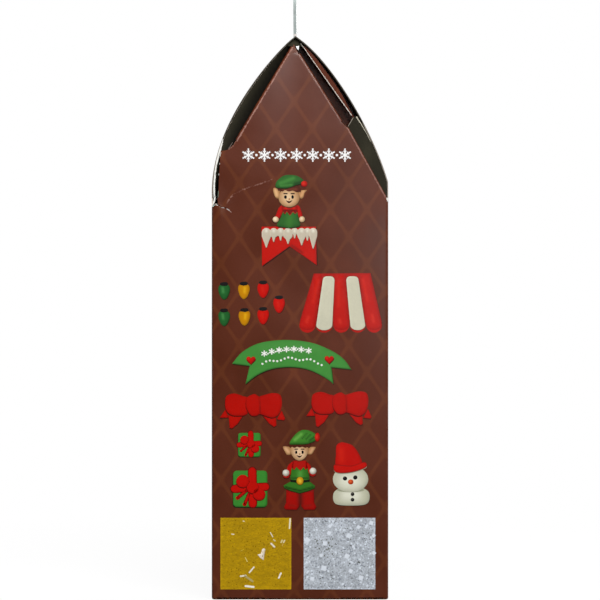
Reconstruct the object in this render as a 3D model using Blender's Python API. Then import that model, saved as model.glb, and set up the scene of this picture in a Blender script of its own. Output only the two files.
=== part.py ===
"""A tall gable-top carton of printed folding board, shut, full and standing on its base.

X runs across the narrow end, Y along the ridge and Z up, in metres. The near end is at -Y. Below
the shoulders the shut carton is one solid. Above them stand its boards: a gable at each end, two
long roof panels that bow outwards, the flaps folded in behind each gable and a tab on the ridge.
"""

import math

import bmesh
import bpy
from mathutils import Vector

MM = 0.001

# The carton
END_WIDTH = 95.4 * MM  # across the narrow end
LENGTH = 254.0 * MM  # along the ridge
SHOULDER_HEIGHT = 217.2 * MM  # where the roof panels turn in
RIDGE_HEIGHT = 303.8 * MM
RIDGE_X = -2.3 * MM  # the ridge leans a little to the left
BOARD = 0.6 * MM  # thickness of the folding board
GAP = 0.3 * MM  # air between neighbouring solids
FOLD_RADIUS = 1.2 * MM  # of the upright corners
BASE_EDGE = 0.6 * MM  # chamfer round the base

RIDGE_FLAT = 1.2 * MM  # half the flat along the ridge, under the tab

# The roof panels: how far each stays upright over the shoulder, how far it leans from upright where
# it turns in and at the ridge, in degrees, and how strongly each end pulls the bow
LEFT_ROOF = {
    "side": -1,
    "upright": 3.0 * MM,
    "shoulder_lean": 0.0,
    "shoulder_pull": 41.2 * MM,
    "ridge_lean": 72.8,
    "ridge_pull": 2.8 * MM,
}
RIGHT_ROOF = {
    "side": 1,
    "upright": 8.2 * MM,
    "shoulder_lean": 16.0,
    "shoulder_pull": 31.1 * MM,
    "ridge_lean": 56.0,
    "ridge_pull": 20.7 * MM,
}
BOW_STEPS = 22

# The gables: where each slope starts under the ridge, and the points that it passes
GABLE_TOP = (-3.4 * MM, 300.4 * MM)
RIGHT_SLOPE_TOP = (0.1 * MM, 295.4 * MM)
STEP_TOP = (22.7 * MM, 259.2 * MM)
STEP_FOOT = (26.0 * MM, 255.6 * MM)
SLOPE_FOOT_X = 47.0 * MM
LEFT_SLOPE_TOP = (-5.0 * MM, 299.4 * MM)
TORN_CORNER = [  # the loose corner, from the slope down to the shoulder, in millimetres
    (-34.9, 248.9),
    (-38.2, 244.4),
    (-42.4, 242.9),
    (-43.1, 242.2),
    (-43.7, 229.0),
    (-44.2, 217.5),
]

# The flaps behind each gable, by depth from the end
GUSSET_DEPTH = BOARD + GAP
FLAP_DEPTH = GUSSET_DEPTH + BOARD + GAP
TUCK_DEPTH = 9.0 * MM
UNDERLAP = 3.0 * MM  # how far a flap runs on behind the gable
GUSSET_TOP = [(26.0, 255.9), (28.8, 260.6), (30.2, 261.2)]  # its cut upper edge, in millimetres
FLAP_LINE = ((0.7 * MM, 300.3 * MM), (28.9 * MM, 260.5 * MM))  # the cut edge of the roof flap
FLAP_FOOT = 256.0 * MM
FLAP_TOP = 299.6 * MM
TUCK_FOOT = 250.0 * MM
TUCK_TOP = 294.0 * MM
EDGE_STEPS = 12

# The tab on the ridge, two boards thick
TAB_LENGTH = 90.0 * MM
TAB_HEIGHT = 29.0 * MM
TAB_CORNER = 8.0 * MM
ARC_STEPS = 6

PRINTED = {"name": "printed_board", "colour": (0.094, 0.026, 0.013), "roughness": 0.38}
INNER = {"name": "inner_board", "colour": (0.055, 0.047, 0.031), "roughness": 0.9}
EDGE = {"name": "cut_edge", "colour": (0.60, 0.58, 0.54), "roughness": 0.9}


def clear_scene():
    for thing in list(bpy.data.objects):
        bpy.data.objects.remove(thing)


def board_material(look):
    """The Principled material of one kind of board, made once."""
    found = bpy.data.materials.get(look["name"])
    if found:
        return found
    material = bpy.data.materials.new(look["name"])
    material.use_nodes = True
    shader = material.node_tree.nodes["Principled BSDF"]
    shader.inputs["Base Color"].default_value = (*look["colour"], 1.0)
    shader.inputs["Roughness"].default_value = look["roughness"]
    shader.inputs["Metallic"].default_value = 0.0
    return material


def add_object(name, mesh, look):
    """Closes a bmesh into a named object with outward faces."""
    bmesh.ops.recalc_face_normals(mesh, faces=mesh.faces)
    data = bpy.data.meshes.new(name)
    mesh.to_mesh(data)
    mesh.free()
    data.materials.append(board_material(look))
    thing = bpy.data.objects.new(name, data)
    bpy.context.scene.collection.objects.link(thing)
    return thing


def prism(name, faces, sweep, look):
    """Sweeps flat faces, given as lists of corners that share points, along one vector."""
    mesh = bmesh.new()
    corners = {}
    for face in faces:
        for corner in face:
            if corner not in corners:
                corners[corner] = mesh.verts.new(corner)
        mesh.faces.new([corners[corner] for corner in face])
    made = bmesh.ops.extrude_face_region(mesh, geom=list(mesh.faces))
    moved = [part for part in made["geom"] if isinstance(part, bmesh.types.BMVert)]
    bmesh.ops.translate(mesh, verts=moved, vec=Vector(sweep))
    return add_object(name, mesh, look)


def rounded_rectangle(half_x, half_y, radius):
    """The corners of a rounded rectangle in plan, anticlockwise."""
    points = []
    for quarter in range(4):
        centre_x = (half_x - radius) * (1 if quarter in (0, 3) else -1)
        centre_y = (half_y - radius) * (1 if quarter in (0, 1) else -1)
        for step in range(ARC_STEPS + 1):
            angle = math.pi / 2 * (quarter + step / ARC_STEPS)
            points.append((centre_x + radius * math.cos(angle), centre_y + radius * math.sin(angle)))
    return points


def carton_body():
    """The shut carton up to its shoulders, chamfered round the base where the board folds under."""
    half_x, half_y = END_WIDTH / 2, LENGTH / 2
    levels = [
        (0.0, BASE_EDGE),
        (BASE_EDGE, 0.0),
        (SHOULDER_HEIGHT, 0.0),
    ]
    mesh = bmesh.new()
    rings = []
    for height, inset in levels:
        outline = rounded_rectangle(half_x - inset, half_y - inset, FOLD_RADIUS)
        rings.append([mesh.verts.new((x, y, height)) for x, y in outline])
    for lower, upper in zip(rings, rings[1:]):
        for i in range(len(lower)):
            j = (i + 1) % len(lower)
            mesh.faces.new((lower[i], lower[j], upper[j], upper[i]))
    mesh.faces.new(rings[0])
    mesh.faces.new(rings[-1])
    return add_object("carton_body", mesh, PRINTED)


def roof_curve(roof):
    """The bowed outer line of a roof panel from shoulder to ridge, as (x, z) points."""
    side = roof["side"]
    lean, pitch = math.radians(roof["shoulder_lean"]), math.radians(roof["ridge_lean"])
    shoulder = Vector((side * END_WIDTH / 2, SHOULDER_HEIGHT + GAP))
    foot = shoulder + Vector((0.0, roof["upright"]))
    ridge = Vector((RIDGE_X + side * RIDGE_FLAT, RIDGE_HEIGHT))
    rise = foot + roof["shoulder_pull"] * Vector((-side * math.sin(lean), math.cos(lean)))
    fall = ridge - roof["ridge_pull"] * Vector((-side * math.sin(pitch), math.cos(pitch)))
    points = [shoulder]
    for i in range(BOW_STEPS + 1):
        t = i / BOW_STEPS
        s = 1 - t
        points.append(s**3 * foot + 3 * s * s * t * rise + 3 * s * t * t * fall + t**3 * ridge)
    points.append(Vector((RIDGE_X + side * GAP / 2, RIDGE_HEIGHT)))
    return points


def moved_in(roof, points, distance):
    """A roof line moved inwards, its first point kept level and its last kept upright."""
    side = roof["side"]
    moved = []
    for i, point in enumerate(points):
        before, after = points[max(i - 1, 0)], points[min(i + 1, len(points) - 1)]
        along = (after - before).normalized()
        if i == 0:
            step = Vector((-side * distance / along.y, 0.0))
        elif i == len(points) - 1:
            step = Vector((0.0, -distance / abs(along.x)))
        else:
            step = distance * Vector((-side * along.y, side * along.x))
        moved.append(point + step)
    return moved


def under_roof(roof, height, clearance=GAP):
    """The x of the air just inside a roof panel, at one height."""
    line = moved_in(roof, roof_curve(roof), BOARD + clearance)
    height = max(height, line[0].y)
    for low, high in zip(line, line[1:]):
        if low.y <= height <= high.y:
            share = (height - low.y) / (high.y - low.y)
            return low.x + share * (high.x - low.x)
    raise ValueError(f"no roof at height {height}")


def roof_panel(name, roof):
    """A long panel, bowed across and straight along the carton."""
    outer = roof_curve(roof)
    inner = moved_in(roof, outer, BOARD)
    near_y = -LENGTH / 2 + GUSSET_DEPTH
    faces = []
    for i in range(len(outer) - 1):
        section = (outer[i], outer[i + 1], inner[i + 1], inner[i])
        faces.append([(point.x, near_y, point.y) for point in section])
    return prism(name, faces, (0, LENGTH - 2 * GUSSET_DEPTH, 0), PRINTED)


def end_board(name, outline, end, depth, look):
    """A flat board parallel to an end (-1 near, 1 far), at a depth behind it, from (x, z) points."""
    outside = end * (LENGTH / 2 - depth)
    face = [(x, outside, z) for x, z in outline]
    return prism(name, [face], (0, -end * BOARD, 0), look)


def line_x(line, height):
    """The x of a straight line through two (x, z) points, at one height."""
    (x0, z0), (x1, z1) = line
    return x0 + (x1 - x0) * (height - z0) / (z1 - z0)


def in_metres(points):
    return [(x * MM, z * MM) for x, z in points]


def gable_outline(torn):
    """The end board above the shoulders. A torn one keeps the loose corner on its left."""
    foot = SHOULDER_HEIGHT + GAP
    right = [(SLOPE_FOOT_X, foot), STEP_FOOT, STEP_TOP, RIGHT_SLOPE_TOP, GABLE_TOP]
    left = in_metres(TORN_CORNER) if torn else [(-SLOPE_FOOT_X, foot)]
    return right + [LEFT_SLOPE_TOP] + left


def heights(low, high):
    return [low + (high - low) * i / EDGE_STEPS for i in range(EDGE_STEPS + 1)]


def gusset_outline():
    """The lower corner flap, from behind the gable's slope out to the roof panel."""
    slope = ((SLOPE_FOOT_X, SHOULDER_HEIGHT), STEP_FOOT)
    foot = SHOULDER_HEIGHT + GAP
    top = in_metres(GUSSET_TOP)
    outside = [(under_roof(RIGHT_ROOF, z), z) for z in heights(foot, top[-1][1])]
    hidden_top = (line_x(slope, top[0][1]) - UNDERLAP, top[0][1])
    hidden_foot = (line_x(slope, foot) - UNDERLAP, foot)
    return outside + top[::-1] + [hidden_top, hidden_foot]


def flap_outline():
    """The roof panel's end flap, between its straight cut edge and the bow."""
    levels = heights(FLAP_FOOT, FLAP_TOP)
    outside = [(under_roof(RIGHT_ROOF, z), z) for z in levels]
    cut = [(line_x(FLAP_LINE, z), z) for z in (levels[-1], levels[0])]
    return outside + cut


def tuck_outline():
    """The inner flap that closes the view past the gable's right slope."""
    slope = (STEP_TOP, RIGHT_SLOPE_TOP)
    levels = heights(TUCK_FOOT, TUCK_TOP)
    outside = [(under_roof(RIGHT_ROOF, z), z) for z in levels]
    inside = [(line_x(slope, z) - UNDERLAP, z) for z in (levels[-1], levels[0])]
    return outside + inside


def end_boards(label, end, torn):
    """The gable and the three flaps behind it, at one end."""
    end_board(f"gable_{label}", gable_outline(torn), end, 0.0, PRINTED)
    end_board(f"gusset_{label}", gusset_outline(), end, GUSSET_DEPTH, INNER)
    end_board(f"roof_flap_{label}", flap_outline(), end, FLAP_DEPTH, PRINTED)
    end_board(f"tuck_flap_{label}", tuck_outline(), end, TUCK_DEPTH, PRINTED)


def ridge_tab():
    """The upright tab on the middle of the ridge, with round upper corners."""
    foot = RIDGE_HEIGHT + GAP
    half, top = TAB_LENGTH / 2, foot + TAB_HEIGHT
    outline = [(half, foot)]
    for turn, sign in ((0.0, 1), (math.pi / 2, -1)):
        for step in range(ARC_STEPS + 1):
            angle = turn + math.pi / 2 * step / ARC_STEPS
            y = sign * (half - TAB_CORNER) + TAB_CORNER * math.cos(angle)
            outline.append((y, top - TAB_CORNER + TAB_CORNER * math.sin(angle)))
    outline.append((-half, foot))
    face = [(RIDGE_X - BOARD, y, z) for y, z in outline]
    return prism("ridge_tab", [face], (2 * BOARD, 0, 0), EDGE)


def build():
    clear_scene()
    carton_body()
    roof_panel("roof_left", LEFT_ROOF)
    roof_panel("roof_right", RIGHT_ROOF)
    end_boards("near", -1, torn=True)
    end_boards("far", 1, torn=False)
    ridge_tab()


build()
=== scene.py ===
"""Looks of a tall gable-top carton for a gingerbread house kit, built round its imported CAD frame.

Every board of the carton is drawn flat in millimetres, filled with triangles, folded to its place
and given its thickness. The print lies on the near end as thin plates of ink. X runs across the
narrow end, Y along the ridge and Z up; the near end faces -Y. The panel lists the steps.
"""

import math
from itertools import product

import bpy
import numpy as np
from bpy.props import FloatProperty, FloatVectorProperty, PointerProperty
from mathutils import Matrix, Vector
from mathutils.geometry import delaunay_2d_cdt, interpolate_bezier


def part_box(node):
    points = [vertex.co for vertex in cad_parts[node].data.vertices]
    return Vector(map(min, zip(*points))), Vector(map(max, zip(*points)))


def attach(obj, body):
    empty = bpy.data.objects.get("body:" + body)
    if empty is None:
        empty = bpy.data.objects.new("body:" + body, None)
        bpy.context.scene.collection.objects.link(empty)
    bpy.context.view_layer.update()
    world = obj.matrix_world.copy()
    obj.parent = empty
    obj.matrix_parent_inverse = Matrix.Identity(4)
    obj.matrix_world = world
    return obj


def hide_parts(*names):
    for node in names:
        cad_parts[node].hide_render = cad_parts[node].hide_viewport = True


bl_info = {
    "name": "Gable-top carton",
    "version": (1, 0, 0),
    "blender": (4, 5, 0),
    "location": "View3D > Sidebar > Carton",
    "description": "Folds a printed gable-top carton for a gingerbread house kit round its CAD frame",
    "category": "Add Mesh",
}

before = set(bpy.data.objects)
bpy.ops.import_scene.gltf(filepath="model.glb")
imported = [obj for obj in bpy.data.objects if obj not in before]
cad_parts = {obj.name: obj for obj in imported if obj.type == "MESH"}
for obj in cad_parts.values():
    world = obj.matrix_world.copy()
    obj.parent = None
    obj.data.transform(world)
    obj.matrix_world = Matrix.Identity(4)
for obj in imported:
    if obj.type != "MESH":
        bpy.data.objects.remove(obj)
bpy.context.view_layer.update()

# Sizes of the frame, in millimetres
MM = 0.001
HALF_WIDTH, HALF_LENGTH, SHOULDER = (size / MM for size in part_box("carton_body")[1])
ROOF_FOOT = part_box("roof_left")[0].z / MM
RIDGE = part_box("roof_left")[1].z / MM
RIDGE_X = (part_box("ridge_tab")[0].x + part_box("ridge_tab")[1].x) / 2 / MM
TAB_FOOT, TAB_TOP = (corner.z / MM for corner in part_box("ridge_tab"))
TAB_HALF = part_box("ridge_tab")[1].y / MM
LENGTH = 2 * HALF_LENGTH

# The bow of each roof panel, by side: how far it stays upright, then its lean in degrees and pull in
# millimetres where it turns in and at the ridge
ROOF_BOW = {-1: (3.0, 0.0, 41.2, 72.8, 2.8), 1: (8.2, 16.0, 31.1, 56.0, 20.7)}
ROOF_STEPS = 40
RIDGE_FLAT = 1.2  # half the flat along the ridge
RIDGE_PINCH = (0.05, 0.9)  # half the width and the rise of the fold pinched up on that flat

# The boards
CORNER_RADIUS = 1.2
BASE_ROLL = 1.2
ROOF_SETBACK = 0.9  # from each end face to the roof panels' cut edges
GLUE_FLAP = 14.0
GLUE_SLANT = 6.0  # how far its top slopes down
GLUE_GAP = 0.1  # between it and the wall over it
GABLE_FOOT = SHOULDER + 0.2  # what lies above this on the blank belongs to a gable
SWELL_POWER = 0.7  # under 1 it fills the swell out towards the base and the shoulders

# How the boards ripple: the ripple's depth, then its wave along and up the board
END_RIPPLE = (0.12, 13.0, 31.0)
WIDE_RIPPLE = (0.15, 27.0, 23.0)
ROOF_RIPPLE = (0.25, 33.0)

# A gable leans back from here up, ever faster, by its full lean this far on
LEAN_FOOT = 200.0
LEAN_SPAN = 100.0

# Each slope of a gable folds back along a crease: its side, foot, top, radius, angle and wear, whose pale
# scuff is worn ink and also a painted highlight on the bend
RIGHT_LOWER = (1, (47.0, 217.5), (26.0, 255.6), 0.6, 1.65, 0.4)
RIGHT_UPPER = (1, (22.7, 259.2), (0.1, 295.4), 0.9, 1.65, 0.12)
LEFT_TORN = (-1, (-34.9, 248.9), (-5.0, 299.4), 1.2, 1.75, 0.8)
LEFT_WHOLE = (-1, (-47.0, 217.5), (-5.0, 299.4), 1.2, 1.75, 0.8)
RETURN_DEPTH = 7.0
RETURN_TAPER = 15.0
SLOPE_REACH = 20.0  # more than a slope's return sticks out of the flat end
GABLE_TOP = (-3.4, 300.4)

# The torn left shoulder of the near end: its loose corner's edge, the tear and the soft crease
LOOSE_TOP = [(-34.9, 247.8), (-36.1, 245.5), (-38.3, 243.6), (-40.1, 242.9), (-42.3, 242.6), (-43.1, 242.0)]
LOOSE_SIDE = [(-43.3, 236.0), (-43.8, 229.0), (-44.0, 222.0), (-44.6, 216.5)]
TEAR_ABOVE = [(-44.3, 213.9), (-42.6, 212.4), (-41.0, 212.2), (-39.4, 211.7)]
TEAR_TIP = (-37.0, 209.7)
TEAR_BELOW = [(-39.5, 211.5), (-41.0, 211.9), (-42.7, 212.1), (-44.4, 213.4), (-45.6, 213.6)]
TEAR_START = (-48.3, 212.2)
SOFT_CREASE = [(-40.2, 213.6), (-36.5, 218.8), (-28.5, 222.6), (-15.1, 227.0)]
TORN_FOOT = 205.0  # nothing below this is torn or creased
LOOSE_SPAN = 30.0  # the corner is wholly loose this far left of the middle
LOOSE_LIFT = (0.9, 14.0)  # how far it lifts, and how far past the crease it takes for that
CREASE_LIFT = (0.10, 0.8)  # the height and half width of the crease's own ridge

# How worn each fold is, from 0 to 1; on the gable creases, the loose corner and the soft crease the pale
# scuff is also a painted highlight
CORNER_WEAR = 0.30
BASE_WEAR = 0.35
SHOULDER_WEAR = 0.4
LOOSE_WEAR = 0.55
SOFT_WEAR = (0.34, 0.15)  # on the whole, and how much it varies
SOFT_STRAY = ((0.3, 1.7), (0.15, 3.9))  # two waves by which its scuff strays, each a depth and a rate
BASE_CREASE = BASE_ROLL * 0.4
SHOULDER_REACH = 8.0  # how far from the shoulder its fold is looked for
NO_CREASE = 10.0  # the crease distance of what no fold is near

# How fresh each cut edge is, from 0 to 1
TORN_FRESH = 1.0
CUT_FRESH = 0.25
TORN_SIDE = -36.0  # the torn edges lie left of this
ROOF_FRESH_AND_SHADE = (0.35, 0.05)  # below and above the heights on the next line, the dull value up high standing for painted shade where the roof's cut edge lies in shadow
# Above these heights the roof panels' cut edges are darkened with painted shade
EDGE_SHADE_FOOT = {-1: 247.0, 1: 258.0}

# The lattice in the brown: how far apart its nodes are, and where one is
LATTICE_WIDTH = 19.73
LATTICE_HEIGHT = 29.24
LATTICE_NODE = (-3.27, 269.4)

WORLD_GLOW = 0.03  # of the white studio round the carton, on the carton

# The camera, which looks straight at the near end
SENSOR_WIDTH = 36.0
VIEW_DISTANCE = 1500.0  # from the near end
VIEW_WIDTH = 324.3  # what the picture spans at the near end
VIEW_HEIGHT = 162.0

# The print: films of ink on the near end, in millimetres
PRINT_CELL = 0.7  # triangles across a film
INK_AIR = 0.02  # under the lowest film
INK_STEP = 0.03  # from one level of films to the next
INK_FILM = 0.02
INK_LIGHT = np.array([-0.6, 0.8])  # the painted shading is lit from the upper left
EDGE_GAP = 1e-4  # a point this close to an outline lies on it

BOARD_CELL = 3.0  # triangles across the near end
FAR_CELL = BOARD_CELL * 1.4  # across the far end
WIDE_CELL = 6.0  # and elsewhere
BOARD_MARGIN = 0.35  # inner points keep this clear of a board's outline
FILL_EPSILON = 1e-6
CHUNK = 1500
SHARP_ANGLE = math.radians(38)


def linear(code):
    """The linear colour of an sRGB hex code."""
    values = [int(code[i : i + 2], 16) / 255 for i in (0, 2, 4)]
    return [v / 12.92 if v <= 0.04045 else ((v + 0.055) / 1.055) ** 2.4 for v in values]


def colour_setting(name, description, code):
    return FloatVectorProperty(
        name=name, description=description, default=linear(code), subtype="COLOR", min=0.0, max=1.0
    )


def length_setting(name, description, millimetres):
    return FloatProperty(name=name, description=description, default=millimetres * MM, unit="LENGTH")


def power_setting(name, description, watts):
    return FloatProperty(name=name, description=description, default=watts, unit="POWER")


class CartonSettings(bpy.types.PropertyGroup):
    board: length_setting("Board", "Thickness of the folding board", 0.6)
    wide_swell: length_setting("Wide swell", "How far the full carton bulges its wide sides", 1.5)
    end_swell: length_setting("End swell", "How far it bulges its narrow ends", 0.6)
    gable_lean: length_setting("Gable lean", "How far the top of a gable leans back", 1.4)
    brown: colour_setting("Brown", "Ink of the whole carton", "562818")
    lattice: colour_setting("Lattice", "Ink of the diamond lattice", "60301b")
    # Worn ink on the folds, and a painted highlight along the gable creases
    scuffed_and_highlight: colour_setting("Scuffed ink", "Ink worn thin on a fold", "a5796c")
    # Mixed in by the wear attribute: along the wear of the folded boards, and as painted shade on the flaps
    inner: colour_setting("Inner face", "Bare inner face of the recycled board", "343125")
    inner_grime_and_shade: colour_setting("Dark inner face", "The same, where it is grimy and hardly lit", "15120c")
    core: colour_setting("Core", "Paper in a clean cut", "c9bcae")
    # Also painted shade, on the upper cut edges of the roof panels
    core_dirt_and_shade: colour_setting("Dull core", "Paper in an old, dirty cut", "38342b")
    tab_edge: colour_setting("Tab edge", "Cut edge of the tab on the ridge", "9aa3a1")


class StageSettings(bpy.types.PropertyGroup):
    key: power_setting("Key", "Power of the key softbox", 22.5)
    fill: power_setting("Fill", "Power of the fill softbox", 2.0)
    top: power_setting("Top", "Power of the overhead softbox", 18.0)
    back: power_setting("Back", "Power of the back softbox", 10.0)
    gloss: power_setting("Gloss", "Power of the softbox that the varnish mirrors", 0.65)
    sheen: power_setting("Sheen", "Power of the small softbox that the gable mirrors", 2.4)
    floor: colour_setting("Floor", "The pale floor", "f7f6f4")


def settings():
    return bpy.context.scene.carton


# Flat outlines


def spread(start, stop, step):
    """Evenly spaced values from start to stop, no further apart than step."""
    count = max(1, math.ceil(abs(stop - start) / step - 1e-9))
    return [start + (stop - start) * i / count for i in range(count + 1)]


def between(a, b, share):
    return tuple(p + (q - p) * share for p, q in zip(a, b))


def divided(outline, step):
    """A closed outline with no side longer than step."""
    made = []
    for a, b in zip(outline, outline[1:] + outline[:1]):
        made += [between(a, b, share) for share in spread(0.0, 1.0, step / max(math.dist(a, b), step))[:-1]]
    return made


def nearest(points, line, closed=True):
    """How far each point is from a line of points, and the spot on it that is nearest."""
    start = np.array(line, float)
    stop = np.roll(start, -1, 0)
    if not closed:
        start, stop = start[:-1], stop[:-1]
    run = stop - start
    square = np.maximum((run**2).sum(1), 1e-12)
    gaps, spots = [], []
    for first in range(0, len(points), CHUNK):
        some = np.array(points[first : first + CHUNK], float)[:, None, :]
        share = np.clip(((some - start) * run).sum(2) / square, 0, 1)
        spot = start + share[..., None] * run
        gap = np.sqrt(((some - spot) ** 2).sum(2))
        best = gap.argmin(1)
        rows = np.arange(len(best))
        gaps.append(gap[rows, best])
        spots.append(spot[rows, best])
    return np.concatenate(gaps), np.concatenate(spots)


def grid(outline, across, up):
    """Evenly spaced points over the box round an outline."""
    us, vs = zip(*outline)
    return list(product(spread(min(us), max(us), across), spread(min(vs), max(vs), up)))


def arc(x, z, half_x, half_z, turns):
    """Points round a centre."""
    return [(x + half_x * math.cos(turn), z + half_z * math.sin(turn)) for turn in turns]


def filled(outline, inner, margin):
    """Triangles inside a closed outline, through the inner points that keep clear of it."""
    if inner:
        gaps, _ = nearest(inner, outline)
        inner = [point for point, gap in zip(inner, gaps) if gap > margin]
    points = [Vector(point) for point in outline + inner]
    sides = [(i, (i + 1) % len(outline)) for i in range(len(outline))]
    flat, _, faces, *_ = delaunay_2d_cdt(points, sides, [], 1, FILL_EPSILON)
    used = sorted({corner for face in faces for corner in face})
    order = {old: new for new, old in enumerate(used)}
    return [tuple(flat[i]) for i in used], [[order[i] for i in face] for face in faces]


# Meshes


def skin_normals(points, faces):
    """The way out at each point of a triangle skin."""
    spots = np.array(points)
    corners = np.array(faces)
    cross = np.cross(
        spots[corners[:, 1]] - spots[corners[:, 0]], spots[corners[:, 2]] - spots[corners[:, 0]]
    )
    normals = np.zeros_like(spots)
    for column in range(3):
        np.add.at(normals, corners[:, column], cross)
    return normals / np.maximum(np.linalg.norm(normals, axis=1, keepdims=True), 1e-12)


def closed_sheet(front, back, faces):
    """A thin closed body between two skins that share their triangles, and each face's look."""
    count = len(front)
    sides = {side for face in faces for side in zip(face, face[1:] + face[:1])}
    rim = [(a, a + count, b + count, b) for a, b in sorted(sides) if (b, a) not in sides]
    inside = [[corner + count for corner in reversed(face)] for face in faces]
    looks = [0] * len(faces) + [1] * len(inside) + [2] * len(rim)
    return front + back, [*faces, *inside, *rim], looks


def placed(name, data):
    """A new object in the scene, at the origin."""
    piece = bpy.data.objects.new(name, data)
    bpy.context.scene.collection.objects.link(piece)
    return piece


def mesh_piece(name, points, faces, looks, materials, layers):
    """An object from points in millimetres, with its attributes."""
    mesh = bpy.data.meshes.new(name)
    mesh.from_pydata([Vector(point) * MM for point in points], [], faces)
    for material in materials:
        mesh.materials.append(material)
    mesh.polygons.foreach_set("material_index", looks)
    for layer, (kind, field, values) in layers.items():
        attribute = mesh.attributes.new(layer, kind, "POINT")
        attribute.data.foreach_set(field, np.array(values, np.float32).ravel())
    mesh.shade_smooth()
    mesh.set_sharp_from_angle(angle=SHARP_ANGLE)
    return placed(name, mesh)


def board_piece(name, sheets, materials, thickness=None):
    """One piece of folding board from flat sheets, each an (outline, inner points, place, marks).

    place folds a flat point to its spot; marks gives its crease distance, wear and freshness. A flap's wear
    and a roof panel's dull upper edge are painted shade, and the gable creases' wear is also a painted
    highlight."""
    thickness = thickness or settings().board / MM
    points, faces, looks, flats, wears_and_shades, freshes_and_shades = [], [], [], [], [], []
    for outline, inner, place, marks in sheets:
        flat, triangles = filled(outline, inner, BOARD_MARGIN)
        front = [place(*point) for point in flat]
        normals = skin_normals(front, triangles)
        back = [tuple(spot) for spot in np.array(front) - thickness * normals]
        body, body_faces, body_looks = closed_sheet(front, back, triangles)
        shift = len(points)
        points += body
        faces += [[corner + shift for corner in face] for face in body_faces]
        looks += body_looks
        for _ in range(2):
            for point in flat:
                crease, wear, fresh = marks(*point)
                flats.append((*point, crease))
                wears_and_shades.append(wear)
                freshes_and_shades.append(fresh)
    layers = {
        "blank": ("FLOAT_VECTOR", "vector", flats),
        "wear": ("FLOAT", "value", wears_and_shades),
        "fresh": ("FLOAT", "value", freshes_and_shades),
    }
    return mesh_piece(name, points, faces, looks, materials, layers)


def plain(fresh):
    """The marks of a sheet that no fold crosses."""
    return lambda u, v: (NO_CREASE, 0.0, fresh)


def settle(piece, slot, *nodes):
    """Rides on the carton's one body and stands for its CAD nodes. The slot is not used."""
    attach(piece, "root")
    if nodes:
        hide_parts(*nodes)


# Folding: from the flat blank to the carton


# The unrolled walls, each with where it starts, its first corner and the way it faces
WALLS = [
    (-HALF_WIDTH - LENGTH, (-HALF_WIDTH, HALF_LENGTH), (-1, 0)),
    (-HALF_WIDTH, (-HALF_WIDTH, -HALF_LENGTH), (0, -1)),
    (HALF_WIDTH, (HALF_WIDTH, -HALF_LENGTH), (1, 0)),
    (HALF_WIDTH + LENGTH, (HALF_WIDTH, HALF_LENGTH), (0, 1)),
    (3 * HALF_WIDTH + LENGTH, (-HALF_WIDTH, HALF_LENGTH), (-1, 0)),
]
CORNERS = [wall[0] for wall in WALLS[1:]]
FAR_MIDDLE = 2 * HALF_WIDTH + LENGTH


def wall_spot(u):
    """Where the unrolled walls put a distance u along them: the wall, (x, y) and the way out."""
    number = max(i for i, wall in enumerate(WALLS) if i == 0 or u >= wall[0])
    start, corner, out = WALLS[number]
    near_start = number > 0 and u - start < CORNER_RADIUS
    near_stop = number < len(CORNERS) and WALLS[number + 1][0] - u < CORNER_RADIUS
    if not near_start and not near_stop:
        run = u - start
        return number, Vector((corner[0] - out[1] * run, corner[1] + out[0] * run)), Vector(out)
    bend = number if near_start else number + 1
    start, corner, after = WALLS[bend]
    before = Vector(WALLS[bend - 1][2])
    after = Vector(after)
    angle = ((u - start) / CORNER_RADIUS + 1) * math.pi / 4
    way = math.cos(angle) * before + math.sin(angle) * after
    centre = Vector(corner) - CORNER_RADIUS * (before + after)
    return number, centre + CORNER_RADIUS * way, way


def line_gap(point, line):
    """How far a point is from an open line, and on which side (positive to its left)."""
    best, side = 1e9, 1
    for a, b in zip(line, line[1:]):
        run = (b[0] - a[0], b[1] - a[1])
        rel = (point[0] - a[0], point[1] - a[1])
        share = min(max((rel[0] * run[0] + rel[1] * run[1]) / (run[0] ** 2 + run[1] ** 2), 0), 1)
        gap = math.hypot(rel[0] - share * run[0], rel[1] - share * run[1])
        if gap < best:
            best, side = gap, 1 if run[0] * rel[1] - run[1] * rel[0] > 0 else -1
    return best, side


def end_bulge(x, z, torn):
    """How far an end stands out of its plane: the carton's bulge, the gable's lean, the loose corner."""
    look = settings()
    across = max(0.0, 1 - (x / HALF_WIDTH) ** 2)
    depth, along, up = END_RIPPLE
    bulge = look.end_swell / MM * across * math.sin(math.pi * min(max(z, 0) / RIDGE, 1))
    bulge += depth * across * math.sin(x / along + 1.0) * math.sin(z / up)
    bulge -= look.gable_lean / MM * (max(z - LEAN_FOOT, 0) / LEAN_SPAN) ** 2
    if torn and x < 0 and z > TORN_FOOT:
        gap, side = line_gap((x, z), SOFT_CREASE)
        beyond = gap if side > 0 else 0.0
        share = min(-x / LOOSE_SPAN, 1.0)
        loose = share * share * (3 - 2 * share)
        bulge += LOOSE_LIFT[0] * loose * (1 - math.exp(-beyond / LOOSE_LIFT[1]))
        bulge += CREASE_LIFT[0] * math.exp(-((gap / CREASE_LIFT[1]) ** 2))
    return bulge


def crease_frame(crease):
    """A gable crease as its start, its run, the way out of the gable, and its length."""
    side, foot, top, radius = crease[:4]
    run = (Vector(top) - Vector(foot)).normalized()
    out = side * Vector((run.y, -run.x))
    return Vector(foot) - out * radius, run, out, math.dist(foot, top)


def gable_creases(torn):
    return [RIGHT_LOWER, RIGHT_UPPER, LEFT_TORN if torn else LEFT_WHOLE]


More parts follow.
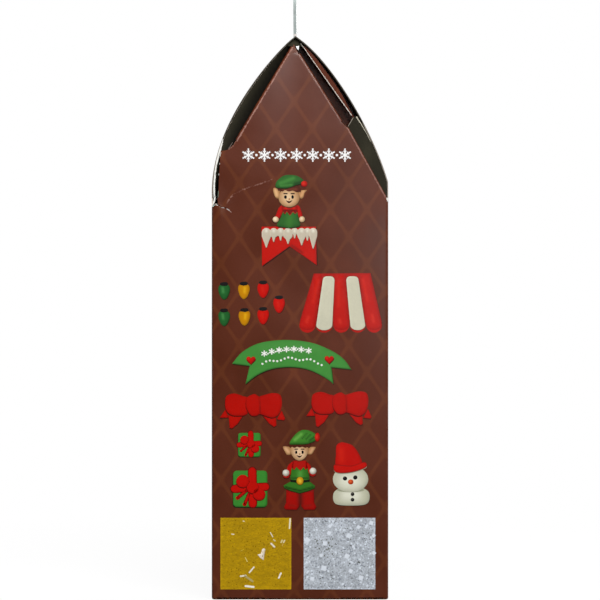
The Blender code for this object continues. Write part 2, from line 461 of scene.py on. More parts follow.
def gable_spot(x, z, torn):
    """A flat gable point's x and z once its slopes are folded back, and how far back it lies."""
    for crease in gable_creases(torn):
        start, run, out, length = crease_frame(crease)
        rel = Vector((x, z)) - start
        beyond, along = rel.dot(out), rel.dot(run)
        if beyond > 0 and -0.01 < along < length + 0.01:
            radius, angle = crease[3], crease[4]
            turn = min(beyond / radius, angle)
            rest = max(beyond - radius * angle, 0)
            shift = radius * math.sin(turn) + rest * math.cos(angle) - beyond
            back = radius * (1 - math.cos(turn)) + rest * math.sin(angle)
            return x + out.x * shift, z + out.y * shift, back
    return x, z, 0.0


def end_spot(x, z, end):
    """A point of an end panel or its gable, folded. end is -1 near and 1 far."""
    torn = end < 0
    bulge = end_bulge(x, z, torn)
    x, z, back = gable_spot(x, z, torn)
    return x, end * (HALF_LENGTH + bulge - back), z


def base_roll(v):
    """How the board rolls in under the base: its height and how far it has gone in."""
    turn = min(max((BASE_ROLL - v) / BASE_ROLL, 0), 1) * math.pi / 2
    return (v if v > BASE_ROLL else BASE_ROLL * (1 - math.sin(turn))), BASE_ROLL * (1 - math.cos(turn))


def wall_place(u, v):
    """A point of the flat blank, folded to the walls and gables."""
    for end, x in ((-1, u), (1, FAR_MIDDLE - u)):
        if v > GABLE_FOOT and abs(x) < HALF_WIDTH + SLOPE_REACH:
            return end_spot(x, v, end)
    number, spot, way = wall_spot(u)
    near_fold = min(abs(u - corner) for corner in CORNERS) < CORNER_RADIUS
    if number in (1, 3) and not near_fold:
        x = u if number == 1 else FAR_MIDDLE - u
        end = -1 if number == 1 else 1
        height, inset = base_roll(v)
        x, y, z = end_spot(x, max(v, BASE_ROLL), end)
        return x, y - end * inset, height if v < BASE_ROLL else z
    height, inset = base_roll(v)
    if number in (0, 2) and not near_fold:
        along = 1 - (spot.y / HALF_LENGTH) ** 2
        up = math.sin(math.pi * min(v / SHOULDER, 1)) ** SWELL_POWER
        ripple = WIDE_RIPPLE[0] * math.sin(spot.y / WIDE_RIPPLE[1]) * math.sin(v / WIDE_RIPPLE[2])
        inset -= (settings().wide_swell / MM + ripple) * along * up
    tucked = min(max((u - CORNERS[-1]) / CORNER_RADIUS, 0), 1)
    inset += tucked * (settings().board / MM + GLUE_GAP)
    spot = spot - way * inset
    return spot.x, spot.y, height


def roof_line(side):
    """The bowed outer line of a roof panel from its wall to the ridge, as (x, z) points."""
    upright, lean, rise, pitch, fall = ROOF_BOW[side]
    lean, pitch = math.radians(lean), math.radians(pitch)
    foot = Vector((side * HALF_WIDTH, ROOF_FOOT + upright))
    ridge = Vector((RIDGE_X + side * RIDGE_FLAT, RIDGE))
    first = foot + rise * Vector((-side * math.sin(lean), math.cos(lean)))
    last = ridge - fall * Vector((-side * math.sin(pitch), math.cos(pitch)))
    bow = interpolate_bezier(foot, first, last, ridge, ROOF_STEPS + 1)
    pinch = Vector((RIDGE_X + side * RIDGE_PINCH[0], RIDGE + RIDGE_PINCH[1]))
    return [Vector((side * HALF_WIDTH, SHOULDER)), *bow, pinch]


ROOF_LINES = {side: roof_line(side) for side in (-1, 1)}


def roof_length(side):
    line = ROOF_LINES[side]
    return sum((b - a).length for a, b in zip(line, line[1:]))


def roof_spot(side, run):
    """The (x, z) at a distance run up a roof panel."""
    line = ROOF_LINES[side]
    for a, b in zip(line, line[1:]):
        step = (b - a).length
        if run <= step:
            return a + (b - a) * run / step
        run -= step
    return line[-1]


def roof_x(side, z, inset=0.0):
    """The x of a roof panel at a height, moved in square to the panel."""
    line = ROOF_LINES[side]
    for a, b in zip(line, line[1:]):
        if a.y <= z <= b.y and b.y > a.y:
            along = (b - a).normalized()
            return a.x + (b.x - a.x) * (z - a.y) / (b.y - a.y) - side * inset / along.y
    raise ValueError(f"no roof at height {z}")


def roof_place(u, v):
    """A point of a roof panel, with v measured on up from the shoulder."""
    side = -1 if u < 0 else 1
    spot = roof_spot(side, v - SHOULDER)
    y = abs(u) - HALF_WIDTH - HALF_LENGTH
    share = min(max((v - SHOULDER) / roof_length(side), 0), 1)
    ripple = ROOF_RIPPLE[0] * math.sin(y / ROOF_RIPPLE[1] + side) * math.sin(math.pi * share)
    return spot.x + side * ripple, y, spot.y


# Marks of wear on the flat blank


def wall_marks(u, v):
    """Crease distance, wear and freshness of the walls and gables."""
    found = [
        (min(abs(u - corner) for corner in CORNERS), CORNER_WEAR),
        (abs(v - BASE_CREASE), BASE_WEAR),
    ]
    near = abs(u) <= HALF_WIDTH + CORNER_RADIUS
    x = u if near else FAR_MIDDLE - u
    if near or 0 <= FAR_MIDDLE - u + HALF_WIDTH <= 2 * HALF_WIDTH:
        for crease in gable_creases(near):
            start, run, _, length = crease_frame(crease)
            stop = start + run * length
            found.append((line_gap((x, v), [start, stop])[0], crease[5]))
    elif abs(v - SHOULDER) < SHOULDER_REACH:
        found.append((abs(v - SHOULDER), SHOULDER_WEAR))
    if near and v > TORN_FOOT:
        strayed = v
        for depth, rate in SOFT_STRAY:
            strayed += depth * math.sin(rate * x)
        gap = line_gap((x, strayed), SOFT_CREASE)[0]
        found.append((gap, SOFT_WEAR[0] + SOFT_WEAR[1] * math.sin(x * 0.8)))
        found.append((line_gap((x, v), [LEFT_TORN[1], *LOOSE_TOP[1:3]])[0], LOOSE_WEAR))
    distance, wear = min(found)
    torn = near and x < TORN_SIDE and v > TORN_FOOT
    return min(distance, NO_CREASE), wear, TORN_FRESH if torn else CUT_FRESH


def roof_marks(u, v):
    """The same of a roof panel, whose cut edge is fresh low down and darkened with painted shade higher up.
    """
    side = -1 if u < 0 else 1
    height = roof_spot(side, v - SHOULDER).y
    ridge_gap = SHOULDER + roof_length(side) - v
    distance = min(abs(v - SHOULDER), ridge_gap, NO_CREASE)
    return distance, SHOULDER_WEAR, ROOF_FRESH_AND_SHADE[0 if height < EDGE_SHADE_FOOT[side] else 1]


# The blank's outlines


def gable_outline(end):
    """The gable over an end panel, from its right foot to its left, with its folded slopes."""
    outline = []
    for crease in gable_creases(end < 0):
        side, _, _, radius, angle, _ = crease
        start, run, out, length = crease_frame(crease)
        bend = [out * radius * angle * share for share in spread(0.0, 1.0, 0.25)]
        far_out = bend[-1] + out * RETURN_DEPTH
        taper = run * RETURN_TAPER
        stop = start + run * length
        corners = [start + step for step in bend] + [start + far_out + taper, stop + far_out - taper]
        corners += [stop + step for step in bend[::-1]]
        outline += [tuple(corner) for corner in (corners if side > 0 else corners[::-1])]
        if crease is RIGHT_UPPER:
            outline.append(GABLE_TOP)
    return outline


def shell_outline():
    """The walls and both gables as one flat outline, in order round it."""
    far = [(FAR_MIDDLE - x, z) for x, z in gable_outline(1)][::-1]
    near = gable_outline(-1)
    return [
        (CORNERS[0] - LENGTH + CORNER_RADIUS, 0.0),
        (CORNERS[3] + GLUE_FLAP, 0.0),
        (CORNERS[3] + GLUE_FLAP, SHOULDER - GLUE_SLANT),
        (CORNERS[3] + CORNER_RADIUS, SHOULDER),
        *far,
        (CORNERS[2] - CORNER_RADIUS, SHOULDER),
        (CORNERS[1] + CORNER_RADIUS, SHOULDER),
        *near,
        *LOOSE_TOP,
        *LOOSE_SIDE,
        *TEAR_ABOVE,
        TEAR_TIP,
        *TEAR_BELOW,
        TEAR_START,
        (CORNERS[0] - CORNER_RADIUS, SHOULDER),
        (CORNERS[0] - LENGTH + CORNER_RADIUS, SHOULDER),
    ]


# The rows of points along a gable crease, by how far they lie out from where it starts to bend
ROWS_BEFORE = [-1.2, -0.5]
BEND_ROWS = 5
ROW_BEYOND = 3.0
ROW_STEP = 2.2
ROW_END = 1.0  # from each end of the crease
CREASE_CLEAR = (2.0, 1.5)  # how far other points keep before a crease and from its ends

# The blank's other points
BASE_ROWS = [0.15, 0.35, 0.6, 0.9, 1.2]  # up the roll into the base
FIRST_ROW = 3.0
CORNER_CLEAR = 1.2
SLOPE_FOOT = 212.0  # no gable crease starts below this
SOFT_STEP = 1.3
SOFT_ROWS = (-0.9, 0.0, 0.9)


def crease_rows(crease, torn):
    """Points along a gable crease and round its bend, clear of the other creases."""
    others = [other for other in gable_creases(torn) if other is not crease]
    start, run, out, length = crease_frame(crease)
    bend = crease[3] * crease[4]
    offsets = ROWS_BEFORE + [bend * i / BEND_ROWS for i in range(BEND_ROWS + 1)] + [bend + ROW_BEYOND]
    rows = [
        tuple(start + run * along + out * offset)
        for offset in offsets
        for along in spread(ROW_END, length - ROW_END, ROW_STEP)
    ]
    return [point for point in rows if not in_crease(*point, others)]


def in_crease(x, z, creases):
    """True near a gable crease and on the return beyond it."""
    for crease in creases:
        start, run, out, length = crease_frame(crease)
        rel = Vector((x, z)) - start
        before, past = CREASE_CLEAR
        if rel.dot(out) > -before and -past < rel.dot(run) < length + past:
            return True
    return False


def shell_points():
    """The points inside the blank: a grid, tighter at the folds, and rows along the creases."""
    bend = [CORNER_RADIUS * i / 3 for i in range(-3, 4)]
    columns = [corner + shift for corner in CORNERS for shift in bend]
    edges = [WALLS[0][0], *CORNERS, CORNERS[3] + GLUE_FLAP]
    cells = [WIDE_CELL, BOARD_CELL, WIDE_CELL, FAR_CELL, BOARD_CELL]
    for start, stop, cell in zip(edges, edges[1:], cells):
        columns += spread(start + CORNER_RADIUS + CORNER_CLEAR, stop - CORNER_RADIUS - CORNER_CLEAR, cell)
    rows = BASE_ROWS + spread(FIRST_ROW, RIDGE, BOARD_CELL)
    points = []
    for u in columns:
        near = abs(u) <= HALF_WIDTH
        x = u if near else FAR_MIDDLE - u
        for v in rows:
            gable = v > SLOPE_FOOT and (near or abs(x) <= HALF_WIDTH)
            if gable and in_crease(x, v, gable_creases(near)):
                continue
            points.append((u, v))
    for crease in gable_creases(True):
        points += crease_rows(crease, True)
    for crease in gable_creases(False):
        points += [(FAR_MIDDLE - x, z) for x, z in crease_rows(crease, False)]
    for a, b in zip(SOFT_CREASE, SOFT_CREASE[1:]):
        across = (Vector(b) - Vector(a)).normalized().orthogonal()
        for share in spread(0.0, 1.0, SOFT_STEP / math.dist(a, b))[1:]:
            middle = Vector(between(a, b, share))
            points += [tuple(middle + across * shift) for shift in SOFT_ROWS]
    return points


def board_looks():
    return [printed_board(), inner_board(), cut_edge()]


# Materials


def add_node(tree, kind, values=None, links=None, **fields):
    """Adds one node with its fields and socket values, and links what feeds it.

    A source is a socket, or a node for its first output."""
    node = tree.nodes.new(kind)
    for name, value in fields.items():
        setattr(node, name, value)
    for socket, value in (values or {}).items():
        node.inputs[socket].default_value = value
    for socket, source in (links or {}).items():
        tree.links.new(getattr(source, "outputs", [source])[0], node.inputs[socket])
    return node


def new_material(name):
    """A new material, its node tree and its shader."""
    material = bpy.data.materials.new(name)
    material.use_nodes = True
    return material, material.node_tree, material.node_tree.nodes["Principled BSDF"]


def known(name):
    """The material of that name, if it is made already."""
    return bpy.data.materials.get(name)


MIX_A, MIX_B, MIX_OUT = 6, 7, 2  # the colour sockets of a Mix node
BOARD_IOR = 1.5
VARNISH_GLOSS = 0.28  # the matting agent in the varnish holds back about half its gloss
PAPER_GLOSS = 0.15
NOISE_SPAN = {"From Min": 0.3, "From Max": 0.7}  # where most of a noise's values lie
LATTICE_HALF = (0.022, 0.072)  # where its lines are full and where they end, in cell widths

# Uneven ink, in patches of 25 mm and in specks of a millimetre: each its size, its roughness and the
# tones it spans
INK_PATCHES = (25, 0.5, 0.9, 1.12)
INK_SPECKS = (1.1, 0.6, 0.96, 1.04)

# Scuffs reach half a millimetre from a fold, broken up by the specks, and are rougher
SCUFF_SPAN = (0.1, 0.5)
SCUFF_RAGGED = 1.6
SCUFF_ROUGH = 0.25
VARNISH_ROUGH = (0.2, 0.27)

# Paper formation under the varnish: soft flocs of 1.5 mm, a few hundredths deep
FLOC_SIZE = 1.5
FLOC_DEPTH = 0.04


def finished(tree, shader, colour, height, strength, relief, gloss):
    """Feeds a shader its colour and its relief, in millimetres, and sets its gloss."""
    bump = add_node(
        tree, "ShaderNodeBump", {"Strength": strength, "Distance": relief * MM}, {"Height": height}
    )
    tree.links.new(colour, shader.inputs["Base Color"])
    tree.links.new(bump.outputs[0], shader.inputs["Normal"])
    shader.inputs["IOR"].default_value = BOARD_IOR
    shader.inputs["Specular IOR Level"].default_value = gloss


def printed_board():
    """Folding box board: offset-printed brown with a lattice, under a satin dispersion varnish.

    Flat even ink, a soft broad gloss, and pale scuffs where the varnish cracks along the folds, which on the
    gable creases also stand for a painted highlight."""
    name = "varnished_printed_folding_board"
    if known(name):
        return known(name)
    look = settings()
    material, tree, shader = new_material(name)
    flat = add_node(tree, "ShaderNodeAttribute", attribute_name="blank").outputs["Vector"]
    wear = add_node(tree, "ShaderNodeAttribute", attribute_name="wear").outputs["Fac"]
    parts = add_node(tree, "ShaderNodeSeparateXYZ", links={0: flat}).outputs
    across, up = (
        add_node(
            tree, "ShaderNodeMath", {1: 1 / pitch, 2: -start / pitch}, {0: parts[axis]},
            operation="MULTIPLY_ADD",
        )
        for axis, pitch, start in zip("XY", (LATTICE_WIDTH, LATTICE_HEIGHT), LATTICE_NODE)
    )
    diagonals = []
    for operation in ("ADD", "SUBTRACT"):
        slant = add_node(tree, "ShaderNodeMath", links={0: across, 1: up}, operation=operation)
        fold = add_node(tree, "ShaderNodeMath", {1: 0.5}, {0: slant}, operation="PINGPONG")
        diagonals.append(fold)
    both = dict(enumerate(diagonals))
    times = add_node(tree, "ShaderNodeMath", links=both, operation="MULTIPLY")
    total = add_node(tree, "ShaderNodeMath", links=both, operation="ADD")
    closeness = add_node(
        tree, "ShaderNodeMath", links={0: times, 1: total}, operation="DIVIDE"
    )
    line = add_node(
        tree, "ShaderNodeMapRange",
        {"From Min": LATTICE_HALF[0], "From Max": LATTICE_HALF[1], "To Min": 1.0, "To Max": 0.0},
        {"Value": closeness}, interpolation_type="SMOOTHSTEP",
    )
    ink = add_node(
        tree, "ShaderNodeMix", {MIX_A: (*look.brown, 1), MIX_B: (*look.lattice, 1)},
        {0: line}, data_type="RGBA",
    )
    noises, tones = [], []
    for size, rough, low, high in (INK_PATCHES, INK_SPECKS):
        noise = add_node(
            tree, "ShaderNodeTexNoise", {"Scale": 1 / size, "Detail": 2.0, "Roughness": rough},
            {"Vector": flat},
        )
        tone = add_node(
            tree, "ShaderNodeMapRange", {**NOISE_SPAN, "To Min": low, "To Max": high},
            {"Value": noise},
        )
        noises.append(noise)
        tones.append(tone)
    patches, specks = noises
    uneven = add_node(tree, "ShaderNodeMath", links=dict(enumerate(tones)), operation="MULTIPLY")
    toned = add_node(
        tree, "ShaderNodeVectorMath", links={0: ink.outputs[MIX_OUT], 1: uneven},
        operation="MULTIPLY",
    )
    torn = add_node(
        tree, "ShaderNodeMath", {1: SCUFF_RAGGED, 2: -SCUFF_RAGGED / 2}, {0: specks},
        operation="MULTIPLY_ADD",
    )
    reach = add_node(tree, "ShaderNodeMath", links={0: parts["Z"], 1: torn}, operation="ADD")
    scuff = add_node(
        tree, "ShaderNodeMapRange",
        {"From Min": SCUFF_SPAN[0], "From Max": SCUFF_SPAN[1], "To Min": 1.0, "To Max": 0.0},
        {"Value": reach}, interpolation_type="SMOOTHSTEP",
    )
    worn = add_node(tree, "ShaderNodeMath", links={0: scuff, 1: wear}, operation="MULTIPLY")
    colour = add_node(
        tree, "ShaderNodeMix", {MIX_B: (*look.scuffed_and_highlight, 1)},
        {0: worn, MIX_A: toned}, data_type="RGBA",
    )
    sheen = add_node(
        tree, "ShaderNodeMapRange",
        {"From Min": 0.35, "From Max": 0.65, "To Min": VARNISH_ROUGH[0], "To Max": VARNISH_ROUGH[1]},
        {"Value": patches},
    )
    rough = add_node(
        tree, "ShaderNodeMath", {1: SCUFF_ROUGH}, {0: worn, 2: sheen},
        operation="MULTIPLY_ADD",
    )
    tree.links.new(rough.outputs[0], shader.inputs["Roughness"])
    flocs = add_node(
        tree, "ShaderNodeTexNoise", {"Scale": 1 / FLOC_SIZE, "Detail": 3.0}, {"Vector": flat}
    )
    colour, height = colour.outputs[MIX_OUT], flocs.outputs[0]
    finished(tree, shader, colour, height, 0.12, FLOC_DEPTH, VARNISH_GLOSS)
    return material


def fibre_board(name, base, other, blend, rough, size, relief):
    """A paper face of mottled fibre: two colours mixed by an attribute, or the first alone."""
    material, tree, shader = new_material(name)
    place = add_node(tree, "ShaderNodeTexCoord").outputs["Object"]
    fibres = add_node(
        tree, "ShaderNodeTexNoise", {"Scale": 1 / (size * MM), "Detail": 4.0, "Roughness": 0.65},
        {"Vector": place},
    )
    tone = add_node(
        tree, "ShaderNodeMapRange", {**NOISE_SPAN, "To Min": 0.82, "To Max": 1.18},
        {"Value": fibres},
    )
    mixed = add_node(
        tree, "ShaderNodeMix", {0: 0.0, MIX_A: (*base, 1), MIX_B: (*other, 1)}, data_type="RGBA"
    )
    if blend:
        share = add_node(tree, "ShaderNodeAttribute", attribute_name=blend)
        tree.links.new(share.outputs["Fac"], mixed.inputs[0])
    toned = add_node(
        tree, "ShaderNodeVectorMath", links={0: mixed.outputs[MIX_OUT], 1: tone},
        operation="MULTIPLY",
    )
    shader.inputs["Roughness"].default_value = rough
    finished(tree, shader, toned.outputs[0], fibres.outputs[0], 0.35, relief, PAPER_GLOSS)
    return material


def inner_board():
    """Recycled board, uncoated on its inner face: a dull grey-olive felt of short fibres, darkened by the
    wear attribute, which on the flaps is painted shade.
    """
    look = settings()
    return known("bare_recycled_board") or fibre_board(
        "bare_recycled_board", look.inner, look.inner_grime_and_shade, "wear", 0.85, 0.8, 0.05
    )


def cut_edge():
    """The die-cut edge of the board: pale paper core where it is fresh, dull where it is old, and dull as
    painted shade high on the roof panels.
    """
    look = settings()
    return known("die_cut_paper_core") or fibre_board(
        "die_cut_paper_core", look.core_dirt_and_shade, look.core, "fresh", 0.9, 0.4, 0.05
    )


def tab_edge():
    """The tab's cut edge, handled and grey: dull, even fibre."""
    look = settings()
    return known("handled_board_edge") or fibre_board(
        "handled_board_edge", look.tab_edge, look.tab_edge, None, 0.9, 4.0, 0.01
    )


def painted(name, rough, relief, coarse, fine, spans, stretch=(1.0, 1.0)):
    """A finish whose colour comes from the ink attribute, broken up by two sizes of noise.

    coarse and fine are in millimetres, spans are the darkest and lightest share of each, and
    stretch draws the grain out along one diagonal."""
    material, tree, shader = new_material(name)
    place = add_node(tree, "ShaderNodeTexCoord").outputs["Object"]
    turned = add_node(
        tree, "ShaderNodeMapping",
        {"Rotation": (0, math.radians(35), 0), "Scale": (stretch[0], 1.0, stretch[1])}, {"Vector": place},
    )
    ink = add_node(tree, "ShaderNodeAttribute", attribute_name="ink").outputs["Color"]
    tones = []
    for size, (low, high) in zip((coarse, fine), spans):
        noise = add_node(
            tree, "ShaderNodeTexNoise", {"Scale": 1 / (size * MM), "Detail": 2.0, "Roughness": 0.6},
            {"Vector": turned},
        )
        tone = add_node(
            tree, "ShaderNodeMapRange", {**NOISE_SPAN, "To Min": low, "To Max": high},
            {"Value": noise},
        )
        tones.append(tone.outputs[0])
    tone = add_node(tree, "ShaderNodeMath", links=dict(enumerate(tones)), operation="MULTIPLY")
    colour = add_node(tree, "ShaderNodeVectorMath", links={0: ink, 1: tone}, operation="MULTIPLY")
    shader.inputs["Roughness"].default_value = rough
    finished(tree, shader, colour.outputs[0], tones[1], 0.3, relief, VARNISH_GLOSS)
    return material


def offset_ink():
    """Process inks under the same satin varnish: even colour with a trace of screen grain."""
    name = "varnished_offset_ink"
    return known(name) or painted(name, 0.24, 0.02, 9.0, 0.8, ((0.96, 1.04), (0.97, 1.03)))


# Coarse and fine grain in millimetres, the tones each spans, and how the grain is drawn out
GOLD_SUGAR = (3.5, 0.75, ((0.9, 1.1), (0.82, 1.18)), (0.7, 1.6))
SILVER_SUGAR = (9.0, 0.75, ((0.84, 1.14), (0.64, 1.34)), (1.0, 1.0))


def sugar_ink(name, grain):
    """A printed photograph of coloured sugar: the same varnished ink, broken into fine grains."""
    coarse, fine, spans, stretch = grain
    return known(name) or painted(name, 0.3, 0.02, coarse, fine, spans, stretch)


def fibre_film():
    """Torn or cut paper seen edge on: matt fibre, pale to dull as the ink attribute says."""
    name = "torn_paper_fibre"
    return known(name) or painted(name, 0.95, 0.08, 2.0, 0.4, ((0.92, 1.04), (0.82, 1.08)))


# Pieces of the carton


def build_shell():
    outline = divided(shell_outline(), BOARD_CELL)
    shell = board_piece(
        "carton_shell", [(outline, shell_points(), wall_place, wall_marks)], board_looks()
    )
    settle(shell, "printed_board", "carton_body", "gable_near", "gable_far")


def build_roof():
    for side, label in ((-1, "left"), (1, "right")):
        top = SHOULDER + roof_length(side)
        low, high = HALF_WIDTH + ROOF_SETBACK, HALF_WIDTH + LENGTH - ROOF_SETBACK
        corners = [(low, SHOULDER), (high, SHOULDER), (high, top), (low, top)]
        outline = divided([(side * u, v) for u, v in corners], BOARD_CELL)
        inner = [
            (side * u, v)
            for u in spread(low, high, WIDE_CELL)[1:-1]
            for v in spread(SHOULDER, top, BOARD_CELL)[1:-1]
        ]
        panel = board_piece(
            f"roof_panel_{label}", [(outline, inner, roof_place, roof_marks)], board_looks()
        )
        settle(panel, "printed_board", f"roof_{label}")


# The flaps behind each gable, in (x, z) at an end. Levels are a flap's lowest and highest z
CLEARANCE = 0.3  # between a flap and the roof panel past it
FLAP_STEP = 4.0  # from one level to the next
FLAP_LAP = 4.0  # how far a flap runs on behind the gable
FLAP_CELL = (2.0, 2.5)  # its triangles, across and up
FLAP_FRESH = 0.9

# The gusset, unfolded so far that its bare face shows: its top, its foot and hidden edge, its depth
# behind the end face and how it sinks and ripples further in, and how far painted shade darkens it but for
# one painted highlight
GUSSET_TOP = [(26.0, 255.9), (28.8, 260.6), (29.7, 261.3), (30.6, 260.9), (36.0, 252.2)]
GUSSET_LEVELS = (218.0, 250.0)
GUSSET_HIDDEN = [(22.5, 255.6), (43.0, 218.0)]
GUSSET_HEAD = 262.0
GUSSET_DEPTH = 1.1
GUSSET_SINK = (1.6, 14.0)
GUSSET_RIPPLE = (0.5, 11.0)
# How far painted shade darkens the gusset's bare face
GUSSET_SHADE = 0.45
# The gusset's painted highlight, a lighter patch beside the gable crease
GUSSET_HIGHLIGHT = (36.0, 241.0, 3.0, 2)  # its middle, its reach and how many times taller it is

# The roof flap: its straight cut edge, the dark gap past it by height, and its depth at that edge and
# how fast it comes forward from there
FLAP_CUT = ((0.7, 300.3), (28.9, 260.5))
FLAP_DARK = ((264.8, 2.2), (272.9, 1.5), (287.5, 1.2), (297.2, 0.3))
ROOF_FLAP_LEVELS = (256.5, 299.2)
ROOF_FLAP_DEPTH = (2.4, 0.04)
LEAST_FLAP = 0.5  # the narrowest it gets

# The tuck flap: its left end, which stops short of the middle at the head, and its depth at the ridge
# and how fast it sinks below
TUCK_LEVELS = (252.0, 299.6)
TUCK_HEAD = 296.0
TUCK_STOPS = (-0.4, -9.0)
TUCK_DEPTH = (12.0, 0.06)

# The boards that close the view past the left slope and under the peak: how far they close in on the
# roof panels, their depth, and the painted shade of the side one, darker towards the slope
SIDE_LEVELS = (SHOULDER + 0.3, 299.8)
SIDE_SNUG = 0.25
SIDE_DEPTH = (2.0, 9.0)
# Painted shade on the side board, deepening from the roof panel towards the slope
SIDE_SHADE = (0.1, 1.8)
PEAK_LEVELS = (299.5, 303.0)
PEAK_SNUG = 0.2
PEAK_DEPTH = 3.0


def line_x(line, z):
    """The x of a straight line through two (x, z) points, at one height."""
    (x0, z0), (x1, z1) = line
    return x0 + (x1 - x0) * (z - z0) / (z1 - z0)


def side_share(x, z):
    """How far a point of the side board lies from the roof towards the gable's slope."""
    roof, slope = roof_x(-1, min(z, SIDE_LEVELS[1]), 1.0), line_x(LEFT_WHOLE[1:3], z)
    return min(max((x - roof) / max(slope - roof, 1.0), 0), 1)


def flap_depth(kind, x, z):
    """How far behind the end face a point of a flap lies."""
    if kind == "gusset":
        sink, span = GUSSET_SINK
        share = min(max((roof_x(1, min(z, GUSSET_HEAD)) - x) / span, 0), 1)
        ripple = GUSSET_RIPPLE[0] * math.sin(z / GUSSET_RIPPLE[1]) * share
        return GUSSET_DEPTH + sink * share**2 + ripple
    if kind == "roof_flap":
        return ROOF_FLAP_DEPTH[0] - ROOF_FLAP_DEPTH[1] * (x - line_x(FLAP_CUT, z))
    if kind == "tuck":
        return TUCK_DEPTH[0] + TUCK_DEPTH[1] * (RIDGE - z)
    if kind == "side":
        return SIDE_DEPTH[0] + (SIDE_DEPTH[1] - SIDE_DEPTH[0]) * side_share(x, z)
    return PEAK_DEPTH


def flap_outline(kind):
    """The flat outline of a flap, from the roof panel round to where the gable hides it."""
    inset = settings().board / MM + CLEARANCE
    if kind == "gusset":
        outside = [(roof_x(1, z, inset), z) for z in spread(*GUSSET_LEVELS, FLAP_STEP)]
        return outside + GUSSET_TOP[::-1] + GUSSET_HIDDEN
    if kind == "roof_flap":
        levels = spread(*ROOF_FLAP_LEVELS, FLAP_STEP)
        gaps = np.interp(levels, *zip(*FLAP_DARK))
        outside = [
            (max(roof_x(1, z, inset + gap), line_x(FLAP_CUT, z) + LEAST_FLAP), z)
            for z, gap in zip(levels, gaps)
        ]
        return outside + [(line_x(FLAP_CUT, z), z) for z in (levels[-1], levels[0])]
    if kind == "tuck":
        levels = spread(*TUCK_LEVELS, FLAP_STEP)
        slope = [
            max(line_x(RIGHT_UPPER[1:3], z) - FLAP_LAP, TUCK_STOPS[0 if z > TUCK_HEAD else 1])
            for z in levels
        ]
        return [(roof_x(1, z, inset), z) for z in levels] + list(zip(slope, levels))[::-1]
    if kind == "side":
        levels = spread(*SIDE_LEVELS, FLAP_STEP)
        slope = [line_x(LEFT_WHOLE[1:3], z) + FLAP_LAP for z in levels]
        return list(zip(slope, levels)) + [(roof_x(-1, z, inset - SIDE_SNUG), z) for z in levels[::-1]]
    levels = spread(*PEAK_LEVELS, 1.0)
    outside = [(roof_x(1, z, inset - PEAK_SNUG), z) for z in levels]
    return outside + [(roof_x(-1, z, inset - PEAK_SNUG), z) for z in levels[::-1]]


def flap_painted_shade(kind, x, z):
    """How much painted shade darkens the bare face of a flap, less under the gusset's painted highlight."""
    if kind == "side":
        return min(SIDE_SHADE[0] + SIDE_SHADE[1] * side_share(x, z), 1.0)
    if kind == "gusset":
        x0, z0, reach, tall = GUSSET_HIGHLIGHT
        highlit = math.exp(-((x - x0) ** 2 + ((z - z0) / tall) ** 2) / reach**2)
        return GUSSET_SHADE - GUSSET_SHADE * highlit
    return 0.0


def build_flaps():
    bare = [inner_board(), printed_board(), cut_edge()]
    for name, kinds, looks, slot, node in (
        ("gussets", ("gusset", "side", "peak"), bare, "inner_board", "gusset"),
        ("roof_flaps", ("roof_flap",), board_looks(), "printed_board", "roof_flap"),
        ("tuck_flaps", ("tuck",), board_looks(), "printed_board", "tuck_flap"),
    ):
        sheets = []
        for kind in kinds:
            for end in (-1, 1):
                def place(u, v, end=end, kind=kind):
                    x = -end * u
                    return x, end * (HALF_LENGTH - flap_depth(kind, x, v)), v

                # The wear slot carries the flap's painted shade
                def marks(u, v, end=end, kind=kind):
                    return NO_CREASE, flap_painted_shade(kind, -end * u, v), FLAP_FRESH

                outline = divided([(-end * x, z) for x, z in flap_outline(kind)], FLAP_CELL[0])
                sheets.append((outline, grid(outline, *FLAP_CELL), place, marks))
        piece = board_piece(name, sheets, looks)
        settle(piece, slot, f"{node}_near", f"{node}_far")


TAB_PLY = 0.88  # one ply with its share of the glue
TAB_GAP = 0.01  # half the gap left between the plies
TAB_X = RIDGE_X - 0.45  # their middle
TAB_HEAD = TAB_TOP + 1.0
TAB_CORNER = 4.0
TAB_SWAY = (0.25, 30.0)  # how far the plies wave at the top, and how fast along the ridge
TAB_FLARE = (0.6, 0.7)  # how far they spread over the roof panels, and within what height
TAB_ROWS = (0.4, 0.8, 1.3, 2.0)  # rows of points for that, by how far they lie over the ridge
TAB_FRESH = 0.85


def tab_outline():
    """The tab's side view: upright, with round upper corners, as (y, z)."""
    foot = RIDGE + 0.15
    outline = [(-TAB_HALF, foot), (TAB_HALF, foot)]
    for turn, sign in ((0.0, 1), (math.pi / 2, -1)):
        turns = spread(turn, turn + math.pi / 2, math.pi / 14)
        outline += arc(sign * (TAB_HALF - TAB_CORNER), TAB_HEAD - TAB_CORNER, TAB_CORNER, TAB_CORNER, turns)
    return outline


def build_tab():
    """Two plies of the roof board with the glue between them, upright on the ridge."""
    sheets = []
    for side in (-1, 1):
        def place(u, v, side=side):
            height = (v - TAB_FOOT) / (TAB_TOP - TAB_FOOT)
            sway = TAB_SWAY[0] * height * math.sin(side * u / TAB_SWAY[1])
            flare = TAB_FLARE[0] * math.exp(-max(v - RIDGE, 0) / TAB_FLARE[1])
            return TAB_X + side * (TAB_PLY + TAB_GAP + flare) + sway, side * u, v

        outline = divided([(side * y, z) for y, z in tab_outline()][::side], 2.5)
        levels = [RIDGE + rise for rise in TAB_ROWS] + spread(RIDGE + 4, TAB_TOP, 3.0)
        inner = list(product(spread(-TAB_HALF + 2, TAB_HALF - 2, 3.0), levels))
        sheets.append((outline, inner, place, plain(TAB_FRESH)))
    tab = board_piece("ridge_tab_plies", sheets, [printed_board(), inner_board(), tab_edge()], TAB_PLY)
    settle(tab, "cut_edge", "ridge_tab")


